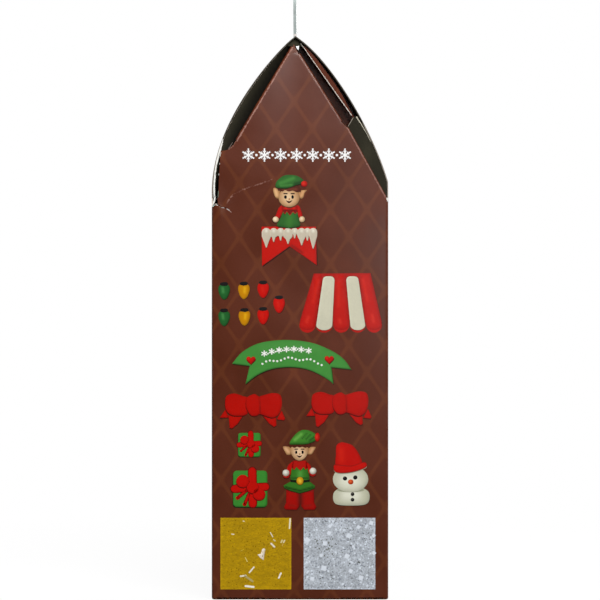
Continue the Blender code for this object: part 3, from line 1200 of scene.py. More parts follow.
INSIDE_GAP = 0.1  # between an inner board and the walls
INSIDE_LAP = 9.0  # how far the upper flap of a pair lies over the lower
INSIDE_CELL = 8.0
INSIDE_FRESH = 0.5


def build_inside():
    """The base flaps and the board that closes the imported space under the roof."""
    board = settings().board / MM
    half_x, half_y = (half - BASE_ROLL - INSIDE_GAP for half in (HALF_WIDTH, HALF_LENGTH))
    for name, levels, seam in (
        ("base_flaps", (board + 0.05, 2 * board + 0.15), -10.0),
        ("attic_floor", (SHOULDER - 3.0, SHOULDER - 2.3), 6.0),
    ):
        sheets = []
        for level, low, high in ((levels[0], -half_x, seam), (levels[1], seam - INSIDE_LAP, half_x)):
            def place(u, v, level=level):
                return u, v, level

            corners = [(low, -half_y), (high, -half_y), (high, half_y), (low, half_y)]
            outline = divided(corners, INSIDE_CELL)
            sheets.append((outline, grid(outline, INSIDE_CELL, INSIDE_CELL), place, plain(INSIDE_FRESH)))
        piece = board_piece(name, sheets, [inner_board(), printed_board(), cut_edge()])
        settle(piece, "inner_board")


# Outlines of the printed shapes, anticlockwise, in millimetres


def oval(x, z, half_x, half_z, steps=18):
    return arc(x, z, half_x, half_z, [2 * math.pi * i / steps for i in range(steps)])


def soft(corners, steps=4):
    """A smooth closed curve through its corners."""
    made = []
    for i in range(len(corners)):
        a, b, c, d = (Vector(corners[(i + j) % len(corners)]) for j in (-1, 0, 1, 2))
        for t in (step / steps for step in range(steps)):
            bend = (c - a) * t + (2 * a - 5 * b + 4 * c - d) * t**2 + (3 * b - a - 3 * c + d) * t**3
            made.append(tuple(b + bend / 2))
    return made


def bar(a, b, width, steps=6):
    """A straight band with round ends."""
    turn = math.atan2(b[1] - a[1], b[0] - a[0])
    made = []
    for end, start in ((b, turn - math.pi / 2), (a, turn + math.pi / 2)):
        made += arc(*end, width / 2, width / 2, spread(start, start + math.pi, math.pi / steps))
    return made


def block(x0, z0, x1, z1, radius=0.3):
    """A rectangle with round corners."""
    made = []
    for i, (x, z) in enumerate([(x1, z1), (x0, z1), (x0, z0), (x1, z0)]):
        x, z = min(max(x, x0 + radius), x1 - radius), min(max(z, z0 + radius), z1 - radius)
        made += arc(x, z, radius, radius, spread(i * math.pi / 2, (i + 1) * math.pi / 2, math.pi / 6))
    return made


def heart(x, z, size):
    made = []
    for turn in spread(0, 2 * math.pi, math.pi / 12)[:-1]:
        rise = 13 * math.cos(turn) - 5 * math.cos(2 * turn) - 2 * math.cos(3 * turn) - math.cos(4 * turn)
        made.append((x - size / 2 * math.sin(turn) ** 3, z + size / 32 * rise))
    return made


def crescent(x, z, half, drop, width):
    """A smile: an arc that sags by drop, as thick as width in its middle."""
    shares = spread(-1.0, 1.0, 0.25)
    low = [(x + half * s, z - drop * (1 - s * s)) for s in shares]
    return low + [(x + half * s, z - (drop - width) * (1 - s * s) + width * 0.15) for s in shares[::-1]]


def snowflake(x, z, radius, width):
    """A snowflake of six arms with a pair of barbs each."""
    side = [
        (0.38 * radius, width / 2), (0.60 * radius, 0.27 * radius), (0.70 * radius, 0.21 * radius),
        (0.54 * radius, width / 2), (radius, width / 2),
    ]
    arm = [(0.87 * width, -width / 2)] + [(a, -b) for a, b in side] + side[::-1]
    made = []
    for turn in spread(math.pi / 6, math.pi / 6 + 2 * math.pi, math.pi / 3)[:-1]:
        cos, sin = math.cos(turn), math.sin(turn)
        made += [(x + a * cos - b * sin, z + a * sin + b * cos) for a, b in arm]
    return made


# Films of ink


def film(outline, colour, level=0, dome=1.0, slope=0.2, rim=0.25, glows=()):
    """One field of colour: printed round over a dome's width, lit on its upper left, dark at the rim.

    Each glow is a soft streak of another colour: its two ends, its reach and its colour."""
    return outline, colour, level, dome, slope, rim, glows


def flat_ink(outline, colour, level=0, glows=()):
    """A film without that shading."""
    return film(outline, colour, level, 1.0, 0.0, 0.0, glows)


def dot(x, z, reach, colour):
    """A round glow."""
    return (x, z), (x, z), reach, colour


def moved(films, x=0.0, z=0.0, size=1.0, level=0):
    def put(point):
        return x + size * point[0], z + size * point[1]

    return [
        ([put(point) for point in outline], colour, layer + level, size * dome, slope, rim,
         [(put(a), put(b), size * reach, tint) for a, b, reach, tint in glows])
        for outline, colour, layer, dome, slope, rim, glows in films
    ]


def outward(outline):
    """The way out of a closed outline at each of its points."""
    line = np.array(outline)
    after = np.roll(line, -1, 0)
    area = (line[:, 0] * after[:, 1] - line[:, 1] * after[:, 0]).sum()
    along = after - np.roll(line, 1, 0)
    out = np.sign(area) * np.column_stack([along[:, 1], -along[:, 0]])
    return out / np.maximum(np.linalg.norm(out, axis=1, keepdims=True), 1e-9)


def inked(flat, outline, colour, dome, slope, rim, glows):
    """The ink at each point of one film, shaded as if the film were rounded."""
    gaps, spots = nearest(flat, outline)
    points = np.array(flat)
    way = (spots - points) / np.maximum(gaps, 1e-9)[:, None]
    edge = np.flatnonzero(gaps < EDGE_GAP)
    corners = np.array(outline)
    match = ((points[edge][:, None] - corners) ** 2).sum(2).argmin(1)
    way[edge] = outward(outline)[match]
    fall = 1 - np.clip(gaps / dome, 0, 1)
    tone = 1 + slope * fall**1.2 * (way @ INK_LIGHT) - rim * fall**2
    ink = np.array(linear(colour)) * tone[:, None]
    for a, b, reach, tint in glows:
        gap, _ = nearest(flat, [a, b], closed=False)
        share = np.exp(-((gap / reach) ** 2))[:, None]
        ink += (np.array(linear(tint)) - ink) * share
    ink = np.clip(ink, 0, 1)
    return np.column_stack([ink, np.ones(len(ink))])


def near_end(x, z):
    """How far the near end's board stands out from the carton's middle."""
    return HALF_LENGTH + end_bulge(x, z, True)


def lifted(flat, ground, lift):
    """Flat points laid on a ground that faces -Y, and lifted off it."""
    return [(x, -(ground(x, z) + lift), z) for x, z in flat]


def film_piece(name, films, material, ground=near_end, cell=PRINT_CELL):
    """Thin films on a ground, each above the films of a lower level."""
    points, faces, inks = [], [], []
    for outline, colour, level, *shading in films:
        outline = divided(outline, cell)
        flat, triangles = filled(outline, grid(outline, cell, cell), cell / 3)
        foot = INK_AIR + level * INK_STEP
        skins = (lifted(flat, ground, foot + lift) for lift in (INK_FILM, 0.0))
        body, body_faces, _ = closed_sheet(*skins, triangles)
        shift = len(points)
        points += body
        faces += [[corner + shift for corner in face] for face in body_faces]
        inks += [*inked(flat, outline, colour, *shading)] * 2
    layers = {"ink": ("FLOAT_COLOR", "color", inks)}
    return mesh_piece(name, points, faces, [0] * len(faces), [material], layers)


# The motifs, each round its own centre

OUTLINE_INK = "2a120b"  # the thin dark edge under most motifs
SKIN, SKIN_LIT = "b18051", "dbbb92"
HAIR, HAIR_EDGE = "4f1f12", "4a2a18"
CAP_GREEN, CAP_LIT, CAP_DARK = "2b6026", "3f7e35", "1b3f1a"
RED = "b40d04"


def shadow(outline, x=0.2, z=-0.45, level=0, colour=OUTLINE_INK):
    """The dark edge that a motif's outline leaves when it is laid a little lower."""
    return flat_ink([(a + x, b + z) for a, b in outline], colour, level)


def edged(outline, x, z, level, colour, *shading, dark=OUTLINE_INK):
    """A film on its own shadow."""
    return [shadow(outline, x, z, level, dark), film(outline, colour, level + 1, *shading)]


def sleeved(sleeves):
    """Red sleeves, each on its shadow."""
    shadows = [shadow(sleeve) for sleeve in sleeves]
    return shadows + [film(sleeve, RED, 1, 1.2, 0.25, 0.4) for sleeve in sleeves]


def plain_face(x, z, size, level):
    """A plain friendly face: eyes, brows, a nose and a smile."""
    made = []
    for side in (-1, 1):
        eye = (x + side * 0.22 * size, z + 0.06 * size)
        made.append(flat_ink(oval(*eye, 0.08 * size, 0.115 * size, 12), "150d0b", level))
        brow = [(eye[0] + step * 0.1 * size, eye[1] + 0.21 * size) for step in (-1, 1)]
        made.append(flat_ink(bar(*brow, 0.065 * size, 3), "2c1710", level))
    made.append(film(oval(x + 0.02 * size, z - 0.06 * size, 0.06 * size, 0.05 * size, 8), "b57a50", level))
    smile = crescent(x, z - 0.14 * size, 0.2 * size, 0.17 * size, 0.1 * size)
    return made + [flat_ink(smile, "33140d", level)]


def bust_figure():
    """A figure in a green cap, from the waist up."""
    zigzag = [(-3.2, 8.3), (-2.2, 6.6), (-1.1, 8.3), (0.6, 6.1), (2.2, 8.2), (3.4, 6.9), (4.6, 8.1)]
    hem = [(-4.6, 4.6), (-6.7, 0.9), (-5.6, 0.1), (0.4, -0.6), (5.6, 0.1), (6.3, 1.0), (5.4, 4.4)]
    tunic = zigzag[::-1] + hem
    left_ear = [(-8.4, 21.0), (-8.0, 17.6), (-6.7, 15.5), (-5.0, 15.6), (-4.6, 18.9), (-5.5, 20.5)]
    right_ear = [(9.8, 19.8), (8.1, 19.9), (5.6, 19.3), (5.0, 16.9), (6.6, 15.2), (7.9, 16.2), (8.4, 18.2)]
    fringe = [
        (-5.9, 21.2), (-5.6, 19.4), (-4.4, 19.8), (-3.4, 19.1), (-2.0, 19.9), (0.0, 19.1), (2.1, 19.6),
        (4.2, 18.7), (5.2, 19.2), (6.2, 18.6), (6.4, 20.4), (3.8, 22.9), (-2.0, 22.0),
    ]
    cap = [
        (-7.0, 21.4), (-4.6, 20.9), (-1.7, 20.8), (1.1, 21.5), (3.8, 22.5), (7.2, 23.6), (8.0, 25.0),
        (5.9, 26.9), (2.4, 28.0), (-2.0, 27.9), (-4.9, 26.3), (-7.0, 23.8),
    ]
    creases = [
        ((-4.6, 23.6), (2.4, 26.3), 1.0, CAP_LIT), ((-4.4, 22.2), (1.6, 22.6), 0.5, CAP_LIT),
        ((3.4, 23.5), (7.4, 24.4), 0.7, CAP_DARK),
    ]
    sleeves = [
        [(-3.6, 12.0), (-5.6, 10.2), (-7.4, 5.6), (-6.2, 4.8), (-5.0, 4.6), (-3.1, 8.2)],
        [(4.4, 12.0), (4.4, 8.0), (5.4, 4.8), (7.5, 5.4), (7.2, 7.2), (5.9, 11.0)],
    ]
    return [
        *sleeved(sleeves),
        film(
            [(4.4, 12.0), (-3.3, 12.0), (-3.4, 7.5), (0.6, 5.5), (4.8, 7.2)], "a00c04", 1, 0.8, 0.2, 0.2,
            [((-1.6, 10.5), (-1.6, 8.0), 0.7, "c41609"), ((2.6, 10.5), (2.6, 8.0), 0.6, "c41609")],
        ),
        shadow(zigzag + [(4.2, 9.0), (-3.0, 9.0)], 0.0, 0.4, 2, "6d0d07"),
        shadow(tunic, 0.1, -0.4),
        film(tunic, CAP_GREEN, 3, 2.0, 0.25, 0.35, [((0.6, 5.5), (0.2, 1.5), 1.9, "37702a")]),
        flat_ink(oval(-7.1, 3.8, 1.85, 1.75), OUTLINE_INK, 1),
        flat_ink(oval(7.2, 4.0, 1.75, 1.75), OUTLINE_INK, 1),
        film(oval(-7.1, 4.0, 1.65, 1.6), "cfab80", 4, 1.4, 0.3, 0.3, [dot(-7.4, 4.4, 1.0, "f0dfc0")]),
        film(oval(7.1, 4.1, 1.55, 1.6), "c9a478", 4, 1.4, 0.3, 0.3, [dot(6.8, 4.5, 0.9, "e9d4b2")]),
        film(soft(left_ear, 3), SKIN, 2, 1.3, 0.2, 0.35, [((-7.2, 19.6), (-6.6, 17.2), 0.9, "dcae7c")]),
        film(soft(right_ear, 3), SKIN, 2, 1.3, 0.2, 0.35, [((7.8, 19.0), (6.8, 16.8), 0.8, "cf9c6a")]),
        flat_ink(oval(0.2, 15.4, 5.8, 5.2), HAIR_EDGE, 3),
        film(
            oval(0.1, 15.8, 5.7, 5.1, 24), SKIN, 4, 2.2, 0.2, 0.35,
            [((-0.6, 16.2), (0.2, 15.4), 3.4, SKIN_LIT)],
        ),
        film(soft(fringe, 3), HAIR, 5, 0.8, 0.2, 0.2, [((-3.0, 20.0), (4.0, 20.4), 0.6, "6c3322")]),
        *edged(soft(cap, 3), 0.0, -0.35, 5, CAP_GREEN, 2.0, 0.3, 0.35, creases),
        film(oval(8.3, 23.2, 1.75, 1.65), RED, 7, 1.4, 0.3, 0.35, [dot(7.9, 23.7, 0.7, "d6301c")]),
        *plain_face(0.1, 15.6, 8.8, 6),
    ]


def icicle(x, tip, width):
    """An icicle from the banner's top: a round shoulder that tapers to its tip."""
    top, half = 9.8, width / 2
    shoulder = [(x + half * math.cos(a), top - half * (1 - math.sin(a))) for a in spread(0.0, math.pi, 0.35)]
    neck, waist = top - half - 2.2, tip + 2.4
    return [
        (x + 0.22, tip), (x + 0.42 * half, waist), (x + 0.96 * half, neck), *shoulder,
        (x - 0.96 * half, neck), (x - 0.42 * half, waist), (x - 0.22, tip),
    ]


# The icicles of the banner, each its middle, its tip and its width
ICICLES = [
    (-12.2, -0.7, 5.0), (-8.2, 2.4, 4.3), (-4.5, 3.0, 4.0), (-0.5, 1.2, 5.0), (3.1, 4.2, 4.1),
    (6.9, 0.5, 4.7), (10.0, 3.0, 3.8), (13.1, -1.2, 4.4),
]


def banner():
    """A red banner with a notched foot, hung with icicles, each over its neighbour."""
    edge = [(14.7, 10.5), (-14.8, 10.6), (-14.5, -10.8), (0.4, -0.1), (15.1, -10.3)]
    notch = [((1.6, 0.2), (7.0, -3.4), 0.8, "8a110a"), ((14.6, 8.0), (14.9, -9.0), 0.4, "8a110a")]
    made = edged(edge, 0.4, -0.5, 0, "b71004", 0.7, 0.15, 0.2, notch)
    for i, (x, tip, width) in enumerate(ICICLES):
        outline = icicle(x, tip, width)
        glow = ((x, 8.6), (x, 8.2), 0.8, "dcd7c7")
        made.append(shadow(outline, 0.15, -0.35, 2 + i % 2, "6b2a1c"))
        made.append(film(outline, "bdb29e", 4 + i % 2, 0.8, 0.2, -0.08, [glow]))
    return made


# The lights on the panel, each with its glass, where its glow starts and stops, and the glow
GREEN_LIGHT = ("205c28", (-0.8, 1.6), (-0.5, -0.6), "3f8043")
GOLD_LIGHT = ("c18100", (0.5, 1.4), (0.3, -0.8), "dba40e")
RED_LIGHT = ("c10b01", (-0.6, 1.2), (-0.4, -0.8), "ca190a")
LIGHT_SPOTS = [
    (-41.0, 166.9, GREEN_LIGHT), (-30.3, 167.1, GOLD_LIGHT), (-19.9, 167.7, RED_LIGHT),
    (-11.3, 159.6, RED_LIGHT), (-41.0, 152.6, GREEN_LIGHT), (-30.0, 152.8, GOLD_LIGHT),
    (-19.9, 153.4, RED_LIGHT),
]


def lights():
    """Light bulbs, tip down, each in its black cap."""
    half = [(3.15, 1.0), (2.8, 2.6), (1.4, 3.5)]
    foot = [(-2.9, -0.8), (-1.7, -3.5), (0.0, -4.7), (1.7, -3.5), (2.9, -0.8)]
    glass = soft(half + [(-x, z) for x, z in half[::-1]] + foot, 3)
    cap = soft([(1.9, 3.2), (1.8, 4.5), (0.2, 4.8), (-1.9, 4.4), (-2.1, 3.2), (0.0, 2.7)], 3)
    made = []
    for x, z, (colour, start, stop, glow) in LIGHT_SPOTS:
        bulb = edged(glass, 0.15, -0.25, 0, colour, 1.4, 0.2, 0.35, [(start, stop, 0.75, glow)])
        made += moved([*bulb, film(cap, "1a1817", 2, 0.8, 0.2, 0.1)], x, z)
    return made


def stripe(top, foot, top_z, foot_z, lobe, turn=0.8):
    """One stripe of an awning, wider at its foot, with round top corners and a round lobe."""
    middle, half = (foot[0] + foot[1]) / 2, (foot[1] - foot[0]) / 2
    round_foot = arc(middle, foot_z, half, -lobe, spread(math.pi, 0.0, math.pi / 10))
    left, right = (
        [
            (x + side * turn * (1 - math.cos(a)), top_z - turn * (1 - math.sin(a)))
            for a in spread(0, math.pi / 2, 0.4)
        ]
        for x, side in ((top[0], 1), (top[1], -1))
    )
    return left[::-1] + round_foot + right


# The stripes of the awning, each its top, its foot and, if it is red, its high and low glow
STRIPES = [
    ((-14.7, -10.2), (-22.6, -13.8), (((-12.4, 12.0), (-15.2, 0.0)), ((-17.6, -8.0), (-18.6, -10.5)))),
    ((-10.1, -3.4), (-13.7, -4.5), None),
    ((-3.4, 2.4), (-4.2, 4.5), (((-1.2, 11.0), (-1.4, -2.0)), ((-0.8, -9.5), (-0.4, -11.0)))),
    ((2.6, 9.6), (4.7, 13.3), None),
    ((9.8, 15.8), (13.6, 22.1), (((11.9, 12.0), (14.2, 1.0)), ((16.8, -7.0), (17.6, -10.5)))),
]


def awning():
    """Five puffed stripes, red and cream, on a red plate that shows under their lobes."""
    plate = [(15.9, 15.8), (-14.8, 15.5), (-22.5, -11.0), (22.1, -11.0)]
    made = edged(plate, 0.2, -0.4, 0, "a5150c", 0.8, 0.1, 0.3)
    for top, foot, shines in STRIPES:
        made.append(film(stripe(top, foot, 12.0, -12.2, 4.3), "b2140a", 1, 0.9, 0.1, 0.1))
        if shines:
            glows = [(*shine, 0.9, colour) for shine, colour in zip(shines, ("c41c0d", "ca2617"))]
            made.append(film(stripe(top, foot, 15.4, -12.4, 2.6), "b71005", 2, 2.4, 0.12, 0.28, glows))
            continue
        made.append(flat_ink(stripe(top, foot, 14.3, -12.5, 2.9, 2.2), "7c120a", 2))
        top, foot = (top[0] + 0.2, top[1] - 0.2), (foot[0] + 0.3, foot[1] - 0.3)
        made.append(film(stripe(top, foot, 14.0, -12.4, 2.7, 2.1), "c6c3ac", 3, 1.6, 0.1, -0.06))
    return made


RIBBON_MIDDLE = (-4.3, 127.7)
RIBBON_BOW = (5.2, 92.0)  # how high its middle line lies, and how slowly that falls away
PEARLS = 17
PEARL_PITCH = 2.0
HEARTS = ((-22.2, 1.9), (20.1, 2.2))


def ribbon_middle(x):
    rise, fall = RIBBON_BOW
    return rise - x * x / fall


def bowed(corners, steps=4):
    """A smooth open curve through its corners."""
    before, after = (2 * Vector(end) - Vector(beside) for end, beside in (corners[:2], corners[:-3:-1]))
    closed = soft([before, *corners, after], steps)
    return closed[steps : -2 * steps] + [corners[-1]]


def ribbon():
    """A bowed green ribbon between two hearts, with a wavy row of pearls."""
    upper = [
        (31.9, -3.0), (28.2, 2.1), (22.7, 6.2), (12.4, 10.7), (2.0, 12.5), (-8.3, 12.5), (-18.6, 10.7),
        (-26.9, 6.2), (-32.2, 0.2),
    ]
    lower = [
        (-25.2, -11.2), (-18.6, -6.2), (-11.1, -3.1), (-2.8, -2.0), (5.5, -2.6), (12.4, -4.8), (19.3, -8.6),
        (22.4, -11.2),
    ]
    edge = bowed(upper) + [(-32.3, -0.2), (-22.9, -1.4)] + bowed(lower) + [(21.3, -2.1), (32.3, -3.3)]
    glow = ((-16.0, 9.0), (14.0, 8.5), 3.0, "468c3d")
    made = edged(edge, 0.3, -0.5, 0, "408838", 1.1, 0.25, 0.4, [glow])
    for x, z in HEARTS:
        glow = ((x - 1.2, z + 0.9), (x - 1.2, z + 0.6), 0.7, "d4200f")
        made.append(shadow(heart(x, z, 5.2), 0.1, -0.35, 2, "3a140c"))
        made.append(film(heart(x, z, 5.0), RED, 3, 1.2, 0.3, 0.3, [glow]))
    for i in range(PEARLS):
        x = PEARL_PITCH * (i - PEARLS // 2)
        z = ribbon_middle(x) - 2.6 + 0.7 * math.sin(1.1 * i)
        made.append(film(oval(x, z, 0.62, 0.62, 8), "e9ebe2", 3, 0.5, 0.0, 0.1))
    return made


def bow():
    """A flat bow: two loops, the right one with the knot, and four tails."""
    red, shade = "b00c02", "500a04"
    tails = [
        [(-14.7, -0.9), (-17.8, -5.5), (-12.8, -5.4)],
        [(-13.1, -4.0), (-12.4, -10.9), (-11.2, -11.4), (-7.9, -8.7), (-4.9, -4.0)],
        [(4.8, -3.6), (9.1, -8.8), (11.6, -10.4), (12.9, -9.7), (12.7, -5.0)],
        [(15.7, -1.5), (13.0, -6.4), (17.0, -6.9), (17.6, -5.8)],
    ]
    left = [
        (-14.0, 6.4), (-14.9, 2.4), (-14.2, -1.4), (-11.6, -3.9), (-7.3, -4.4), (-3.0, -3.4), (-2.2, 1.0),
        (-2.9, 5.5), (-5.0, 6.2), (-9.7, 7.7),
    ]
    right = [
        (-3.1, 5.4), (-3.6, 2.5), (-3.1, -1.0), (-0.6, -4.2), (2.4, -4.2), (4.2, -3.4), (10.3, -5.4),
        (13.9, -3.8), (15.6, 0.0), (15.8, 4.3), (14.5, 7.3), (10.3, 7.9), (5.0, 6.5), (3.4, 6.1),
        (1.2, 7.4), (-1.0, 6.8),
    ]
    fold = [((3.6, 5.6), (3.9, 2.0), 0.35, "850b04"), ((3.9, 1.0), (4.1, -2.8), 0.45, "850b04")]
    made = [shadow(tail, 0.0, -0.4) for tail in tails]
    made += [film(tail, red, 1, 0.8, 0.15, 0.35) for tail in tails]
    for part, level, glows in ((left, 2, ()), (right, 4, fold)):
        made += edged(soft(part, 3), -0.15, -0.5, level, red, 1.8, 0.14, 0.25, glows, dark=shade)
    return made


def present():
    """A box from above, tied with a ribbon and a round bow."""
    green, red, shade = "39862f", "bb0b03", "520c05"
    strands = [((1.0, 9.6), (1.3, -8.0), 4.2), ((-8.6, 0.0), (8.2, 1.2), 4.0)]
    curls = [((-2.2, -0.9), (-6.9, -4.9), 1.3), ((-0.7, -2.8), (-3.1, -8.3), 1.3)]
    box = block(-9.3, -9.8, 9.2, 9.9, 2.0)
    made = edged(box, -0.3, -0.5, 0, green, 1.2, 0.35, 0.35, dark="14210f")
    made += [flat_ink(bar(a, b, width + 0.7), shade, 2) for a, b, width in strands + curls]
    made += [film(bar(a, b, width), red, 3, 0.9, 0.15, 0.25) for a, b, width in strands + curls]
    made += [film(oval(*tip, 1.1, 1.1, 10), red, 3, 0.6, 0.2, 0.2) for _, tip, _ in curls]
    for x, z, radius in ((-4.1, 4.2, 3.5), (4.7, -2.8, 3.3), (1.3, 0.8, 3.3)):
        made.append(flat_ink(oval(x, z - 0.35, radius + 0.2, radius + 0.1), shade, 4))
        made.append(film(oval(x, z, radius, radius), red, 5, 1.3, 0.15, 0.2))
    return made


def small_figure():
    """The same figure standing, in a belted tunic and boots."""
    zigzag = [(-4.4, 6.9), (-3.1, 5.8), (-1.8, 7.5), (0.3, 5.4), (2.0, 7.4), (3.1, 6.0), (4.3, 6.8)]
    legs = [
        (-7.3, -3.5), (-7.4, -11.8), (-8.6, -14.3), (-7.6, -15.6), (-1.6, -15.7), (-0.3, -13.8),
        (0.3, -12.2), (0.9, -13.8), (2.4, -15.7), (8.0, -15.7), (9.0, -14.2), (7.8, -11.6), (7.6, -3.5),
    ]
    dark_legs = [
        ((0.2, -6.0), (0.3, -12.0), 1.6, "5b130c"), ((-7.2, -5.0), (7.4, -5.0), 1.0, "7b150c"),
        ((-5.6, -13.2), (-2.2, -13.6), 0.5, "8b150c"), ((2.8, -13.6), (6.2, -13.2), 0.5, "8b150c"),
    ]
    hem = [
        (-5.0, 2.2), (-4.9, -0.3), (-8.9, -2.6), (-8.2, -3.9), (-4.7, -5.4), (0, -6.6), (4.6, -5.4),
        (8.0, -3.9), (8.3, -2.7), (5.2, -0.3), (5.1, 2.2),
    ]
    tunic = zigzag[::-1] + hem
    folds = [
        ((-7.6, -3.4), (0.2, -5.3), 0.45, "16330f"), ((0.2, -5.3), (7.0, -3.4), 0.45, "16330f"),
        ((0.2, 4.6), (0.1, 2.0), 1.5, "4d9138"), ((-4.4, 1.6), (4.6, 1.4), 0.4, "1f4516"),
    ]
    belt = [(-5.2, 0.7), (-5.0, -0.7), (0.0, -1.2), (5.2, -0.6), (5.4, 0.7), (0.0, 0.2)]
    buckle = ((-0.2, 0.4), (0.2, -0.4), 0.8, "e9bd38")
    left_ear = [(-9.0, 18.6), (-8.2, 16.1), (-6.7, 14.0), (-4.2, 14.8), (-4.5, 17.9)]
    right_ear = [(8.5, 18.3), (4.4, 17.8), (4.0, 14.8), (6.2, 14.3), (7.7, 16.3)]
    hair = [
        (-5.2, 17.4), (-4.7, 14.4), (-3.0, 11.8), (-0.3, 10.5), (2.4, 11.7), (4.2, 14.2), (4.8, 17.4),
        (2.5, 19.6), (-3.0, 19.6),
    ]
    face = [
        (-5.3, 17.6), (-4.7, 14.8), (-3.0, 12.2), (-0.3, 10.9), (2.4, 12.1), (4.2, 14.6), (4.9, 17.6),
        (2.5, 19.6), (-3.0, 19.6),
    ]
    fringe = [
        (-5.6, 20.4), (-5.2, 17.8), (-4.2, 18.4), (-2.9, 17.8), (-1.4, 18.4), (0.0, 18.0), (1.4, 18.4),
        (2.9, 17.8), (4.2, 18.2), (5.1, 17.6), (5.6, 20.4),
    ]
    cap = [
        (-5.6, 20.0), (-2.0, 19.7), (3.0, 19.8), (6.0, 20.6), (8.2, 21.7), (9.0, 24.3), (7.7, 25.9),
        (4.1, 27.4), (0.5, 27.2), (-3.1, 24.3),
    ]
    creases = [
        ((3.2, 22.4), (5.9, 25.0), 0.35, "1b3d14"), ((1.3, 23.0), (4.0, 25.8), 0.3, "1f4517"),
        ((-2.6, 22.2), (0.8, 25.2), 0.8, "66a645"), ((5.2, 21.8), (7.8, 23.6), 0.5, CAP_DARK),
    ]
    sleeves = [
        [(-3.4, 10.9), (-6.2, 8.6), (-7.5, 5.2), (-7.4, 2.2), (-4.9, 3.2), (-3.6, 7.0)],
        [(3.2, 10.9), (3.2, 7.0), (4.3, 4.2), (6.9, 3.3), (6.9, 5.5), (5.6, 8.6)],
    ]
    made = edged(legs, 0.1, -0.3, 0, "a00b04", 1.6, 0.2, 0.35, dark_legs) + sleeved(sleeves)
    made.append(film([(3.6, 10.9), (-3.8, 10.9), (-4.5, 6.0), (4.4, 5.6)], "aa1109", 1, 0.6, 0.2, 0.2))
    for x, z in ((-7.3, 2.6), (7.0, 3.6)):
        made.append(flat_ink(oval(x, z - 0.2, 1.9, 1.5), OUTLINE_INK, 1))
        made.append(film(oval(x, z, 1.7, 1.3), "a9130b", 2, 0.8, 0.2, 0.3))
    for x, z in ((-7.5, 4.3), (7.1, 5.3)):
        glow = dot(x - 0.3, z + 0.4, 1.1, "eceadf")
        made.append(film(oval(x, z, 1.85, 1.8), "bdb5a4", 3, 1.4, 0.3, 0.3, [glow]))
    return made + [
        *edged(tunic, 0.0, -0.4, 2, "33701f", 1.8, 0.25, 0.35, folds),
        flat_ink(belt, "141d0d", 4),
        flat_ink(oval(0.1, -0.1, 2.1, 2.3), "4a3208", 4),
        film(oval(0.1, 0.0, 1.9, 2.1), "c08a0a", 5, 0.9, 0.2, 0.2, [buckle]),
        film(soft(left_ear, 3), SKIN, 2, 1.0, 0.2, 0.35, [((-7.6, 17.4), (-6.2, 15.6), 0.8, "d9ab80")]),
        film(soft(right_ear, 3), SKIN, 2, 1.0, 0.2, 0.35, [((7.0, 17.3), (5.8, 15.5), 0.7, "cf9f74")]),
        flat_ink(soft(hair, 3), "4a2a1a", 3),
        film(soft(face, 3), SKIN, 4, 2.0, 0.2, 0.3, [((-0.9, 15.8), (0.4, 14.6), 2.8, "e6c49e")]),
        film(soft(fringe, 3), HAIR, 5, 0.7, 0.2, 0.2),
        *edged(soft(cap, 3), 0.0, -0.35, 5, "3d7f28", 2.2, 0.3, 0.4, creases),
        film(oval(9.5, 23.6, 1.4, 2.4), RED, 7, 1.2, 0.3, 0.3, [((9.1, 24.4), (9.1, 23.4), 0.6, "d6301c")]),
        *plain_face(-0.2, 15.0, 7.8, 6),
    ]


def snowman():
    """A snowman in a red hat."""
    snow, lit, coal = "b9b9a0", "dfdfcc", "171514"
    brim = [
        (-9.5, 8.9), (-9.1, 6.2), (-6.2, 5.2), (-1.6, 5.4), (3.1, 6.4), (7.8, 8.2), (8.1, 10.2), (5.9, 10.7),
        (0.0, 8.8), (-8.0, 9.5),
    ]
    body = [
        (-4.0, -2.4), (-9.0, -4.6), (-9.9, -8.4), (-8.6, -11.4), (-4.0, -12.3), (4.5, -12.3), (8.6, -11.2),
        (9.8, -8.2), (9.0, -4.6), (4.0, -2.4),
    ]
    hat = [
        (5.9, 10.4), (4.1, 15.5), (0.5, 20.2), (-4.1, 21.7), (-6.2, 21.6), (-8.2, 19.8), (-8.4, 15.0),
        (-8.2, 8.6), (-1.5, 7.4), (4.0, 8.6),
    ]
    brim, body, hat = (soft(corners, 3) for corners in (brim, body, hat))
    made = [
        *edged(body, 0.1, -0.3, 0, snow, 2.6, 0.15, 0.15, [((-3.0, -6.6), (2.0, -6.8), 3.6, lit)]),
        film(oval(-0.4, -3.9, 7.6, 1.3), "8d8f78", 2, 1.2, 0.0, -0.4),
        film(oval(-0.5, 1.9, 9.6, 7.1, 28), snow, 3, 2.8, 0.15, 0.15, [((-2.8, 1.0), (1.6, 0.6), 4.6, lit)]),
        shadow(brim, 0.0, -0.4, 4, "8e8c74"),
        film(hat, "b80b03", 5, 2.2, 0.22, 0.3, [((-5.6, 17.5), (-5.2, 12.0), 1.8, "c41909")]),
        *edged(brim, 0.0, 0.35, 6, "bd0e04", 1.1, 0.25, 0.3, dark="8d1009"),
    ]
    for x, z, radius in ((-3.5, 2.3, 1.15), (2.1, 2.8, 1.15), (0.6, -6.2, 1.0), (0.6, -9.2, 1.0)):
        glow = dot(x - 0.3, z + 0.4, 0.3, "55514c")
        made.append(flat_ink(oval(x, z, radius, radius, 12), coal, 5, [glow]))
    glow = dot(-0.7, 0.8, 0.8, "e8693a")
    return made + [film(oval(-0.4, 0.4, 1.5, 1.4, 14), "b93a12", 5, 1.2, 0.3, 0.2, [glow])]


SMALL_PRESENT = 1 / 1.52  # the size of the upper present beside the lower


def print_pieces(pieces):
    for name, films in pieces:
        settle(film_piece(name, films, offset_ink()), "printed_board")


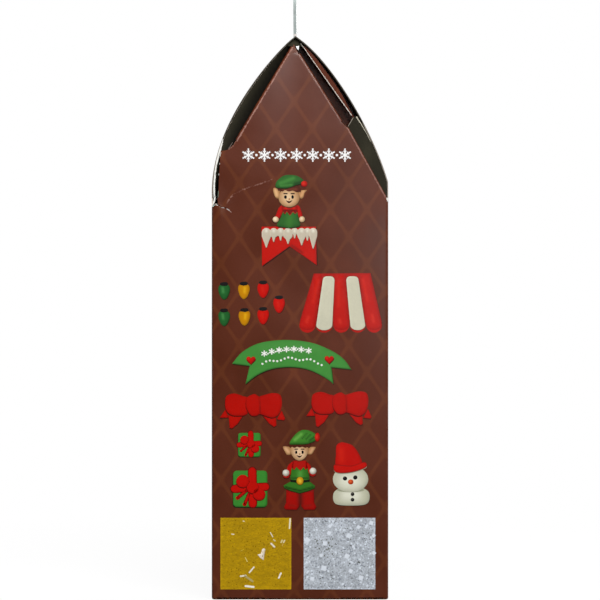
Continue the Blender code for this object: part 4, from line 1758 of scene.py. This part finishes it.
def build_figures():
    bust = moved(bust_figure(), -6.0, 201.5, level=5)
    print_pieces((
        ("print_bust_and_banner", moved(banner(), -6.0, 191.1) + bust),
        ("print_small_figure", moved(small_figure(), -0.1, 64.3)),
        ("print_snowman", moved(snowman(), 27.8, 63.3)),
    ))


def build_trimmings():
    upper = moved(present(), -27.3, 83.7, SMALL_PRESENT)
    print_pieces((
        ("print_lights", lights()),
        ("print_awning", moved(awning(), 22.2, 160.8)),
        ("print_ribbon", moved(ribbon(), *RIBBON_MIDDLE)),
        ("print_bows", moved(bow(), -25.6, 103.8) + moved(bow(), 21.1, 104.7)),
        ("print_presents", moved(present(), -26.8, 59.9) + upper),
    ))


# What is strewn: flakes over a field, or one on each point of a row


def strewing():
    """The node tree that strews a flake over faces, or sets one on each point, as real mesh."""
    tree = bpy.data.node_groups.get("strewn_flakes")
    if tree:
        return tree
    tree = bpy.data.node_groups.new("strewn_flakes", "GeometryNodeTree")
    sockets = (
        ("Ground", "Geometry"), ("Flake", "Object"), ("On points", "Bool"), ("Spacing", "Float"),
        ("Number to a square metre", "Float"), ("Smallest", "Float"), ("Largest", "Float"),
        ("Turn", "Float"), ("Seed", "Int"), ("Finish", "Material"),
    )
    for label, kind in sockets:
        tree.interface.new_socket(label, in_out="INPUT", socket_type=f"NodeSocket{kind}")
    tree.interface.new_socket("Flakes", in_out="OUTPUT", socket_type="NodeSocketGeometry")
    given = add_node(tree, "NodeGroupInput").outputs
    strewn = add_node(
        tree, "GeometryNodeDistributePointsOnFaces",
        links={"Mesh": given["Ground"], "Distance Min": given["Spacing"],
               "Density Max": given["Number to a square metre"], "Seed": given["Seed"]},
        distribute_method="POISSON",
    )
    single = add_node(tree, "GeometryNodeMeshToPoints", links={"Mesh": given["Ground"]})
    spots = add_node(
        tree, "GeometryNodeSwitch",
        links={"Switch": given["On points"], "False": strewn, "True": single},
        input_type="GEOMETRY",
    )
    back = add_node(tree, "ShaderNodeMath", {1: -1.0}, {0: given["Turn"]}, operation="MULTIPLY")
    turn = add_node(
        tree, "FunctionNodeRandomValue", links={2: back, 3: given["Turn"], "Seed": given["Seed"]},
        data_type="FLOAT",
    )
    size = add_node(
        tree, "FunctionNodeRandomValue",
        links={2: given["Smallest"], 3: given["Largest"], "Seed": given["Seed"]}, data_type="FLOAT",
    )
    way = add_node(tree, "ShaderNodeCombineXYZ", links={"Y": turn.outputs[1]})
    flake = add_node(tree, "GeometryNodeObjectInfo", links={"Object": given["Flake"]})
    laid = add_node(
        tree, "GeometryNodeInstanceOnPoints",
        links={"Points": spots, "Instance": flake.outputs["Geometry"],
               "Rotation": way, "Scale": size.outputs[1]},
    )
    real = add_node(tree, "GeometryNodeRealizeInstances", links={0: laid})
    inked_flakes = add_node(
        tree, "GeometryNodeSetMaterial", links={"Geometry": real, "Material": given["Finish"]}
    )
    add_node(tree, "NodeGroupOutput", links={0: inked_flakes})
    return tree


def strewn_piece(name, ground, flake, finish, **wanted):
    """Strews a flake over a ground by the node tree, as a plain mesh; both spare objects go."""
    given = {"Ground": None, "Flake": flake, "Finish": finish, "Smallest": 1.0, "Largest": 1.0, "Seed": 3}
    given.update({label.replace("_", " "): value for label, value in wanted.items()})
    modifier = ground.modifiers.new("strewn", "NODES")
    modifier.node_group = strewing()
    for socket in modifier.node_group.interface.items_tree:
        if socket.in_out == "INPUT" and given.get(socket.name) is not None:
            modifier[socket.identifier] = given[socket.name]
    shaped = ground.evaluated_get(bpy.context.evaluated_depsgraph_get())
    mesh = bpy.data.meshes.new_from_object(shaped)
    mesh.name = name
    for spare in (ground, flake):
        bpy.data.objects.remove(spare)
    if not mesh.polygons:
        raise RuntimeError(f"nothing was strewn for {name}")
    return placed(name, mesh)


def flake_plate(outline, colour, thickness=0.02):
    """One thin plate that faces -Y, to be strewn."""
    flat, triangles = filled(outline, [], 0.0)
    body, faces, _ = closed_sheet(*([(x, y, z) for x, z in flat] for y in (-thickness, 0.0)), triangles)
    layers = {"ink": ("FLOAT_COLOR", "color", [(*linear(colour), 1)] * len(body))}
    return mesh_piece("flake", body, faces, [0] * len(faces), [offset_ink()], layers)


def spots_ground(spots, lift):
    """Bare points on the near end, for one flake each."""
    return mesh_piece("spots", lifted(spots, near_end, lift), [], [], [], {})


def field_ground(x0, z0, x1, z1):
    """Bare triangles over a field of the near end, for flakes to be strewn over."""
    x0, z0, x1, z1 = x0 + FIELD_MARGIN, z0 + FIELD_MARGIN, x1 - FIELD_MARGIN, z1 - FIELD_MARGIN
    outline = divided([(x0, z0), (x1, z0), (x1, z1), (x0, z1)], 4.0)
    flat, triangles = filled(outline, [], 0.0)
    points = lifted(flat, near_end, INK_AIR + INK_STEP)
    return mesh_piece("field", points, triangles, [0] * len(triangles), [], {})


# A row of snowflakes heads the panel, and smaller ones lie on the ribbon
ROW_MIDDLE = (-1.8, 240.3)
ROW_PITCH = 8.7
ROW_COUNT = 7
ROW_INK, RIBBON_INK = "e9e7e6", "ecede6"


def build_snowflakes():
    x0 = ROW_MIDDLE[0] - ROW_PITCH * (ROW_COUNT - 1) / 2
    row = [(x0 + ROW_PITCH * i, ROW_MIDDLE[1]) for i in range(ROW_COUNT)]
    dots = [(x0 + ROW_PITCH * (i + 0.5), ROW_MIDDLE[1]) for i in range(ROW_COUNT - 1)]
    x0, z0 = RIBBON_MIDDLE
    small = [(x0 + x, z0 + ribbon_middle(x) + 2.6) for x in spread(-15.0, 9.0, 4.0)]
    between_small = [(x + 2.0, z - 0.1) for x, z in small[:-1]]
    top = 4 * INK_STEP
    for name, spots, outline, colour in (
        ("print_snowflake_row", row, snowflake(0, 0, 3.6, 0.75), ROW_INK),
        ("print_dot_row", dots, oval(0, 0, 0.7, 0.7, 10), ROW_INK),
        ("print_ribbon_snowflakes", small, snowflake(0, 0, 1.75, 0.5), RIBBON_INK),
        ("print_ribbon_dots", between_small, oval(0, 0, 0.45, 0.45, 8), RIBBON_INK),
    ):
        piece = strewn_piece(
            name, spots_ground(spots, top), flake_plate(outline, colour), offset_ink(), On_points=True
        )
        settle(piece, "printed_board")


# The two swatches of sugar near the foot, as (x0, z0, x1, z1), and the dull patches in the silver one
GOLD_FIELD = (-43.0, 5.6, -4.7, 44.3)
SILVER_FIELD = (2.0, 5.6, 40.7, 44.3)
SMUTS_FIELD = (7.5, 22.0, 18.5, 35.0)
GRIT_FIELD = (25.5, 18.6, 34.0, 21.2)
FIELD_MARGIN = 0.5
FLAKE_SPACING = 0.5

# Their large flakes: slivers and a chip in the gold, and turned squares in the silver, each its
# middle, size and turn
SLIVERS = [
    ((-5.3, 43.8), (-5.7, 38.6), 0.8, "eee6c6"), ((-15.6, 30.4), (-13.8, 28.6), 0.9, "efe8d4"),
    ((-24.9, 17.6), (-27.4, 14.7), 0.8, "f1e9d6"), ((-10.3, 14.4), (-11.5, 11.7), 0.9, "f6efe2"),
    ((-29.5, 7.4), (-25.0, 6.9), 1.1, "f7f3e8"), ((-32.2, 12.7), (-29.3, 13.1), 0.9, "efe6cb"),
    ((-29.6, 12.8), (-25.6, 10.0), 1.2, "b5a467"), ((-16.0, 36.3), (-14.7, 34.0), 0.6, "e9dfbf"),
    ((-29.6, 22.8), (-28.4, 20.5), 0.5, "e2cf78"), ((-36.9, 35.5), (-35.7, 35.3), 0.6, "ece3c4"),
    ((-30.7, 42.5), (-30.2, 42.4), 0.6, "e6dcb4"), ((-14.3, 32.5), (-13.4, 31.8), 0.7, "dccf9a"),
    ((-10.2, 31.0), (-9.6, 32.2), 0.9, "d9c98c"), ((-8.9, 31.0), (-8.3, 32.1), 0.7, "e5d9ae"),
    ((-9.6, 29.2), (-9.3, 30.2), 0.6, "d2a94e"), ((-32.0, 26.3), (-30.4, 27.2), 0.3, "dcc24c"),
]
CHIP = [
    (-19.5, 27.9), (-18.7, 27.1), (-19.3, 24.3), (-19.6, 21.4), (-21.3, 22.5), (-23.0, 24.4), (-21.2, 24.8),
    (-20.4, 27.4),
]
SQUARES = [
    (26.4, 34.6, 2.5, 0.3), (13.4, 30.5, 2.4, 0.7), (12.8, 17.1, 2.8, 0.6), (25.4, 23.5, 2.6, 0.4),
    (32.9, 11.8, 2.5, 0.5), (27.4, 15.6, 2.1, 0.3), (6.6, 11.4, 2.2, 0.7), (3.9, 32.2, 2.8, 0.1),
    (38.5, 41.5, 2.2, 0.5), (15.7, 36.1, 2.0, 0.3), (31.6, 39.3, 1.9, 0.2), (11.4, 24.0, 1.8, 0.6),
    (16.1, 39.8, 1.7, 0.1), (39.8, 34.7, 1.8, 0.1), (40.0, 25.2, 1.8, 0.0), (28.8, 28.8, 1.4, 0.7),
]


def turned_square(x, z, size, turn):
    reach = size / math.sqrt(2)
    return arc(x, z, reach, reach, [turn + a for a in spread(0, 1.5 * math.pi, 1.6)])


def build_swatches():
    rim = {"dome": 0.7, "slope": 0.0, "rim": -0.16}
    gold = [film(block(*GOLD_FIELD, 0.2), "af8a03", **rim)]
    silver = [film(block(*SILVER_FIELD, 0.2), "b4bac2", **rim)]
    for name, films, material in (
        ("print_gold_sugar", gold, sugar_ink("printed_gold_sugar", GOLD_SUGAR)),
        ("print_silver_sugar", silver, sugar_ink("printed_silver_sugar", SILVER_SUGAR)),
    ):
        settle(film_piece(name, films, material, cell=1.5), "printed_board")
    flakes = [film(bar(a, b, width, 3), colour, 2, 0.5, 0.0, 0.1) for a, b, width, colour in SLIVERS]
    flakes += [film(CHIP, "e9dcc8", 2, 1.2, 0.35, 0.1)]
    flakes += [film(turned_square(*square), "dfe5ee", 2, 0.8, 0.0, 0.08) for square in SQUARES]
    settle(film_piece("print_large_flakes", flakes, offset_ink(), cell=0.5), "printed_board")
    square = turned_square(0, 0, 1.0, 0.0)
    for name, field, outline, colour, number, sizes, seed in (
        ("print_gold_specks", GOLD_FIELD, oval(0, 0, 0.5, 0.3, 6), "86650a", 130000, (0.4, 0.95), 4),
        ("print_gold_glints", GOLD_FIELD, oval(0, 0, 0.6, 0.2, 6), "cfab14", 130000, (0.4, 0.9), 9),
        ("print_silver_crystals", SILVER_FIELD, square, "dae1ea", 120000, (0.35, 1.15), 5),
        ("print_silver_smuts", SMUTS_FIELD, square, "5f6054", 400000, (0.25, 0.75), 15),
        ("print_silver_grit", GRIT_FIELD, square, "3f4039", 500000, (0.25, 0.8), 17),
        ("print_silver_specks", SILVER_FIELD, square, "4a4a45", 90000, (0.2, 0.6), 8),
        ("print_silver_shades", SILVER_FIELD, square, "8b919b", 200000, (0.3, 0.8), 12),
    ):
        piece = strewn_piece(
            name, field_ground(*field), flake_plate(outline, colour), offset_ink(),
            Spacing=FLAKE_SPACING * MM, Number_to_a_square_metre=number, Smallest=sizes[0],
            Largest=sizes[1], Turn=math.pi, Seed=seed,
        )
        settle(piece, "printed_board")


# Torn and cut edges that show pale, as films on the sheet that each belongs to


def ragged(line, widths, seed, step=0.7):
    """A strip with ragged sides along a line, as wide as widths say from its start to its end."""
    random = np.random.default_rng(seed)
    shares = spread(0.0, 1.0, step / sum(math.dist(a, b) for a, b in zip(line, line[1:])))
    knots = spread(0.0, 1.0, 1.0 / (len(line) - 1))
    marks = spread(0.0, 1.0, 1.0 / (len(widths) - 1))
    xs, zs = (np.interp(shares, knots, values) for values in zip(*line))
    half = np.interp(shares, marks, widths) / 2 * random.uniform(0.7, 1.3, len(shares))
    run = np.column_stack([np.gradient(xs), np.gradient(zs)])
    across = np.column_stack([-run[:, 1], run[:, 0]]) / np.linalg.norm(run, axis=1)[:, None]
    middle = np.column_stack([xs, zs])
    sides = middle + across * half[:, None], middle - across * half[:, None]
    return [tuple(point) for point in [*sides[1], *sides[0][::-1]]]


def on_flap(kind):
    return lambda x, z: HALF_LENGTH - flap_depth(kind, x, z)


def roof_edge(x, z):
    return HALF_LENGTH - ROOF_SETBACK


# The torn band up the left roof panel: at each level its width and how far inside the panel it starts
BAND_LEVELS = (SHOULDER + 0.3, 218.5, 222.0, 229.0, 234.4, 240.2, 244.5, 249.0)
BAND_WIDTHS = (0.9, 0.9, 0.9, 0.9, 0.8, 1.2, 0.9, 0.3)
BAND_STARTS = (1.0, 0.95, 0.8, 0.6, 0.4, 0.2, 0.15, 0.1)

# The torn and cut edges of the near end's own board: each a line, its widths and its colour
TEARS = [
    ([(-47.3, 212.4), (-46.4, 213.2), (-45.6, 213.4)], (0.5, 0.5), "a9bdb6"),
    ([(-45.3, 213.6), (-44.4, 213.1)], (0.5, 0.4), "d5c8c2"),
    ([(-44.1, 213.0), (-42.9, 212.1)], (0.2, 0.25), "936a60"),
    ([(-42.6, 212.0), (-41.6, 211.9), (-40.8, 211.7)], (0.2, 0.36, 0.25), "c9bbb7"),
    ([(-39.6, 211.2), (-38.8, 210.9), (-38.1, 210.2)], (0.3, 0.4, 0.25), "d9ccc7"),
    ([(-38.1, 210.2), (-37.1, 209.4)], (0.4, 0.25), "a8867c"),
    ([(-42.7, 241.8), (-43.2, 239.6)], (0.45, 0.25), "d8d4cc"),
    ([(-43.4, 236.0), (-43.4, 235.2)], (0.3, 0.35), "c9bfb4"),
    ([(-43.8, 230.3), (-43.9, 229.4)], (0.3, 0.32), "d9d4cb"),
    ([(-44.1, 221.0), (-44.3, 217.5)], (0.25, 0.3), "6f7f6c"),
    ([(-38.5, 243.8), (-37.4, 245.6), (-36.4, 247.2)], (0.3, 0.35, 0.2), "7f726b"),
    # A pale line along the loose corner's crease: worn ink and a painted highlight on the bend
    ([(-34.5, 248.0), (-35.7, 245.9), (-37.0, 244.7), (-38.6, 243.7)], (0.3, 0.45, 0.4, 0.2), "80503f"),
    ([(47.0, 217.4), (47.2, 216.2), (47.3, 215.2)], (0.4, 0.8, 0.3), "f4f3ec"),
]
NICK = [(-2.2, 299.2), (-0.5, 299.5), (-0.6, 298.6), (-0.8, 297.1), (-1.7, 298.0)]


def torn_band():
    """The white fibre along the left roof panel's near edge, as wide as it tore."""
    random = np.random.default_rng(6)
    heights = spread(BAND_LEVELS[0], BAND_LEVELS[-1], 0.8)
    reach = np.interp(heights, BAND_LEVELS, BAND_WIDTHS) + random.uniform(-0.1, 0.1, len(heights))
    starts = np.interp(heights, BAND_LEVELS, BAND_STARTS)
    outer = [(roof_x(-1, z, start), z) for z, start in zip(heights, starts)]
    inner = [(roof_x(-1, z, start + wide), z) for z, start, wide in zip(heights, starts, reach)]
    return outer[::-1] + inner


def fibre(outline, colour):
    return film(outline, colour, 1, 0.4, 0.0, 0.1)


def build_torn_edges():
    white = "f4f3ec"
    front = [fibre(ragged(line, widths, i), colour) for i, (line, widths, colour) in enumerate(TEARS)]
    front.append(flat_ink(NICK, "ffffff", 1))
    cut = [(line_x(FLAP_CUT, z) + 0.1, z) for z in (300.9, 285.0, 272.0, 262.0)]
    cut = ragged(cut, (0.28, 0.4, 0.4), 21)
    foot = [(-46.0, 218.0), (-46.2, 216.4), (-46.7, 214.7), (-47.2, 213.3)]
    foot = ragged(foot, (0.95, 0.9, 0.7, 0.35), 24)
    top = ragged([(26.0, 255.9), (28.8, 260.7)], (0.35, 0.35), 22)
    rim = ragged([(30.5, 261.1), (33.2, 257.0), (35.8, 252.5), (38.2, 247.8)], (0.6, 0.45, 0.3, 0.2), 23)
    scuff = oval(TAB_X, RIDGE + 9.2, 0.95, 0.7, 12)
    for name, films, ground in (
        ("torn_front_edges", front, near_end),
        ("torn_roof_edge", [film(torn_band(), white, 1, 0.5, 0.0, 0.12), fibre(foot, white)], roof_edge),
        ("cut_flap_edge", [fibre(cut, "d8cfc4")], on_flap("roof_flap")),
        ("cut_gusset_edge", [flat_ink(top, "8d8578", 1), fibre(rim, "c6bfac")], on_flap("gusset")),
        ("scuffed_tab_edge", [fibre(scuff, "d3cdc8")], lambda x, z: TAB_HALF + 0.05),
    ):
        settle(film_piece(name, films, fibre_film(), ground, cell=0.6), "cut_edge")


# The stage


# Each softbox: where it stands and what it faces, in metres, and how wide it is
MIDDLE = (0, 0, 0.17)
SOFTBOXES = {
    "key": ((0.35, -1.1, 1.0), MIDDLE, 0.7),
    "fill": ((-1.5, -1.0, 0.6), MIDDLE, 1.0),
    "top": ((0.0, 0.25, 1.7), MIDDLE, 1.2),
    "back": ((0.3, 1.8, 0.9), MIDDLE, 1.2),
    "gloss": ((0.25, -1.75, 0.24), (0.03, -0.127, 0.2), 0.3),
    "sheen": ((0.19, -1.75, 0.65), (0.0, -0.127, 0.28), 0.12),
}
FLOOR_RADIUS = 1.2
FLOOR_FADE = (0.15, 0.5)  # from here to here it fades out
FLOOR_STRENGTH = 0.06


def softbox(name, place, aim, size, power):
    data = bpy.data.lights.new(name, "AREA")
    data.shape, data.size, data.energy = "DISK", size, power
    lamp = placed(name, data)
    lamp.location = place
    lamp.rotation_euler = (Vector(aim) - Vector(place)).to_track_quat("-Z", "Y").to_euler()


def floor_material(colour):
    """Matt pale paper sweep that fades into the white round it."""
    material, tree, shader = new_material("pale_paper_sweep")
    shader.inputs["Base Color"].default_value = (*colour, 1)
    shader.inputs["Roughness"].default_value = 0.9
    place = add_node(tree, "ShaderNodeTexCoord").outputs["Object"]
    span = add_node(tree, "ShaderNodeVectorMath", links={0: place}, operation="LENGTH")
    fade = add_node(
        tree, "ShaderNodeMapRange",
        {"From Min": FLOOR_FADE[0], "From Max": FLOOR_FADE[1], "To Min": FLOOR_STRENGTH, "To Max": 0.0},
        {"Value": span.outputs["Value"]}, interpolation_type="SMOOTHSTEP",
    )
    tree.links.new(fade.outputs[0], shader.inputs["Alpha"])
    return material


def build_stage():
    scene = bpy.context.scene
    stage = scene.carton_stage
    scene.view_settings.view_transform = "Standard"
    world = bpy.data.worlds.new("studio")
    world.use_nodes = True
    tree = world.node_tree
    glow = tree.nodes["Background"]
    glow.inputs[0].default_value = (1, 1, 1, 1)
    seen = add_node(tree, "ShaderNodeLightPath").outputs["Is Camera Ray"]
    strength = add_node(
        tree, "ShaderNodeMapRange", {"To Min": WORLD_GLOW, "To Max": 1.0}, {"Value": seen}
    )
    tree.links.new(strength.outputs[0], glow.inputs[1])
    scene.world = world
    floor = bpy.data.meshes.new("floor")
    ring = [(*point, 0) for point in oval(0, 0, FLOOR_RADIUS, FLOOR_RADIUS, 63)]
    floor.from_pydata(ring, [], [list(range(len(ring)))])
    floor.materials.append(floor_material(stage.floor))
    ground = placed("floor", floor)
    for name, (place, aim, size) in SOFTBOXES.items():
        softbox(f"{name}_softbox", place, aim, size, getattr(stage, name))
    camera = bpy.data.cameras.new("camera")
    camera.sensor_width = SENSOR_WIDTH
    camera.lens = SENSOR_WIDTH * VIEW_DISTANCE / VIEW_WIDTH
    eye = placed("camera", camera)
    eye.location = (0, -(HALF_LENGTH + VIEW_DISTANCE) * MM, VIEW_HEIGHT * MM)
    eye.rotation_euler = (math.pi / 2, 0, 0)
    scene.camera = eye


# Operators, panel and registration


class CARTON_OT_shell(bpy.types.Operator):
    """Folds the four walls and both gables from one printed blank"""

    bl_idname = "carton.shell"
    bl_label = "Walls and gables"

    def execute(self, context):
        build_shell()
        return {"FINISHED"}


class CARTON_OT_roof(bpy.types.Operator):
    """Bows the two roof panels from the shoulders to the ridge"""

    bl_idname = "carton.roof"
    bl_label = "Roof panels"

    def execute(self, context):
        build_roof()
        return {"FINISHED"}


class CARTON_OT_flaps(bpy.types.Operator):
    """Sets the gussets, roof flaps and tuck flaps behind each gable"""

    bl_idname = "carton.flaps"
    bl_label = "End flaps"

    def execute(self, context):
        build_flaps()
        return {"FINISHED"}


class CARTON_OT_tab(bpy.types.Operator):
    """Stands the two-ply tab on the ridge"""

    bl_idname = "carton.tab"
    bl_label = "Ridge tab"

    def execute(self, context):
        build_tab()
        return {"FINISHED"}


class CARTON_OT_inside(bpy.types.Operator):
    """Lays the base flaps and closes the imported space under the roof"""

    bl_idname = "carton.inside"
    bl_label = "Base and attic floor"

    def execute(self, context):
        build_inside()
        return {"FINISHED"}


class CARTON_OT_torn_edges(bpy.types.Operator):
    """Draws the pale fibre along the torn and cut edges"""

    bl_idname = "carton.torn_edges"
    bl_label = "Torn and cut edges"

    def execute(self, context):
        build_torn_edges()
        return {"FINISHED"}


class CARTON_OT_snowflakes(bpy.types.Operator):
    """Prints the rows of snowflakes and dots on the panel and the ribbon"""

    bl_idname = "carton.snowflakes"
    bl_label = "Snowflake rows"

    def execute(self, context):
        build_snowflakes()
        return {"FINISHED"}


class CARTON_OT_figures(bpy.types.Operator):
    """Prints the two figures in green caps, the icicle banner and the snowman"""

    bl_idname = "carton.figures"
    bl_label = "Figures"

    def execute(self, context):
        build_figures()
        return {"FINISHED"}


class CARTON_OT_trimmings(bpy.types.Operator):
    """Prints the lights, the awning, the ribbon, the bows and the presents"""

    bl_idname = "carton.trimmings"
    bl_label = "Trimmings"

    def execute(self, context):
        build_trimmings()
        return {"FINISHED"}


class CARTON_OT_swatches(bpy.types.Operator):
    """Prints the gold and silver sugar and strews their flakes"""

    bl_idname = "carton.swatches"
    bl_label = "Sugar swatches"

    def execute(self, context):
        build_swatches()
        return {"FINISHED"}


class CARTON_OT_stage(bpy.types.Operator):
    """Sets the pale floor, the softboxes and the camera"""

    bl_idname = "carton.stage"
    bl_label = "Stage"

    def execute(self, context):
        build_stage()
        return {"FINISHED"}


STEPS = [
    CARTON_OT_shell, CARTON_OT_roof, CARTON_OT_flaps, CARTON_OT_tab, CARTON_OT_inside, CARTON_OT_torn_edges,
    CARTON_OT_snowflakes, CARTON_OT_figures, CARTON_OT_trimmings, CARTON_OT_swatches, CARTON_OT_stage,
]


class CARTON_PT_panel(bpy.types.Panel):
    bl_label = "Gable-top carton"
    bl_space_type = "VIEW_3D"
    bl_region_type = "UI"
    bl_category = "Carton"

    def draw(self, context):
        for step in STEPS:
            self.layout.operator(step.bl_idname)


CLASSES = [CartonSettings, StageSettings, *STEPS, CARTON_PT_panel]


def register():
    for part in CLASSES:
        bpy.utils.register_class(part)
    bpy.types.Scene.carton = PointerProperty(type=CartonSettings)
    bpy.types.Scene.carton_stage = PointerProperty(type=StageSettings)


def unregister():
    del bpy.types.Scene.carton_stage
    del bpy.types.Scene.carton
    for part in reversed(CLASSES):
        bpy.utils.unregister_class(part)


def main():
    register()
    for step in STEPS:
        area, action = step.bl_idname.split(".")
        getattr(getattr(bpy.ops, area), action)()


if __name__ == "__main__":
    main()
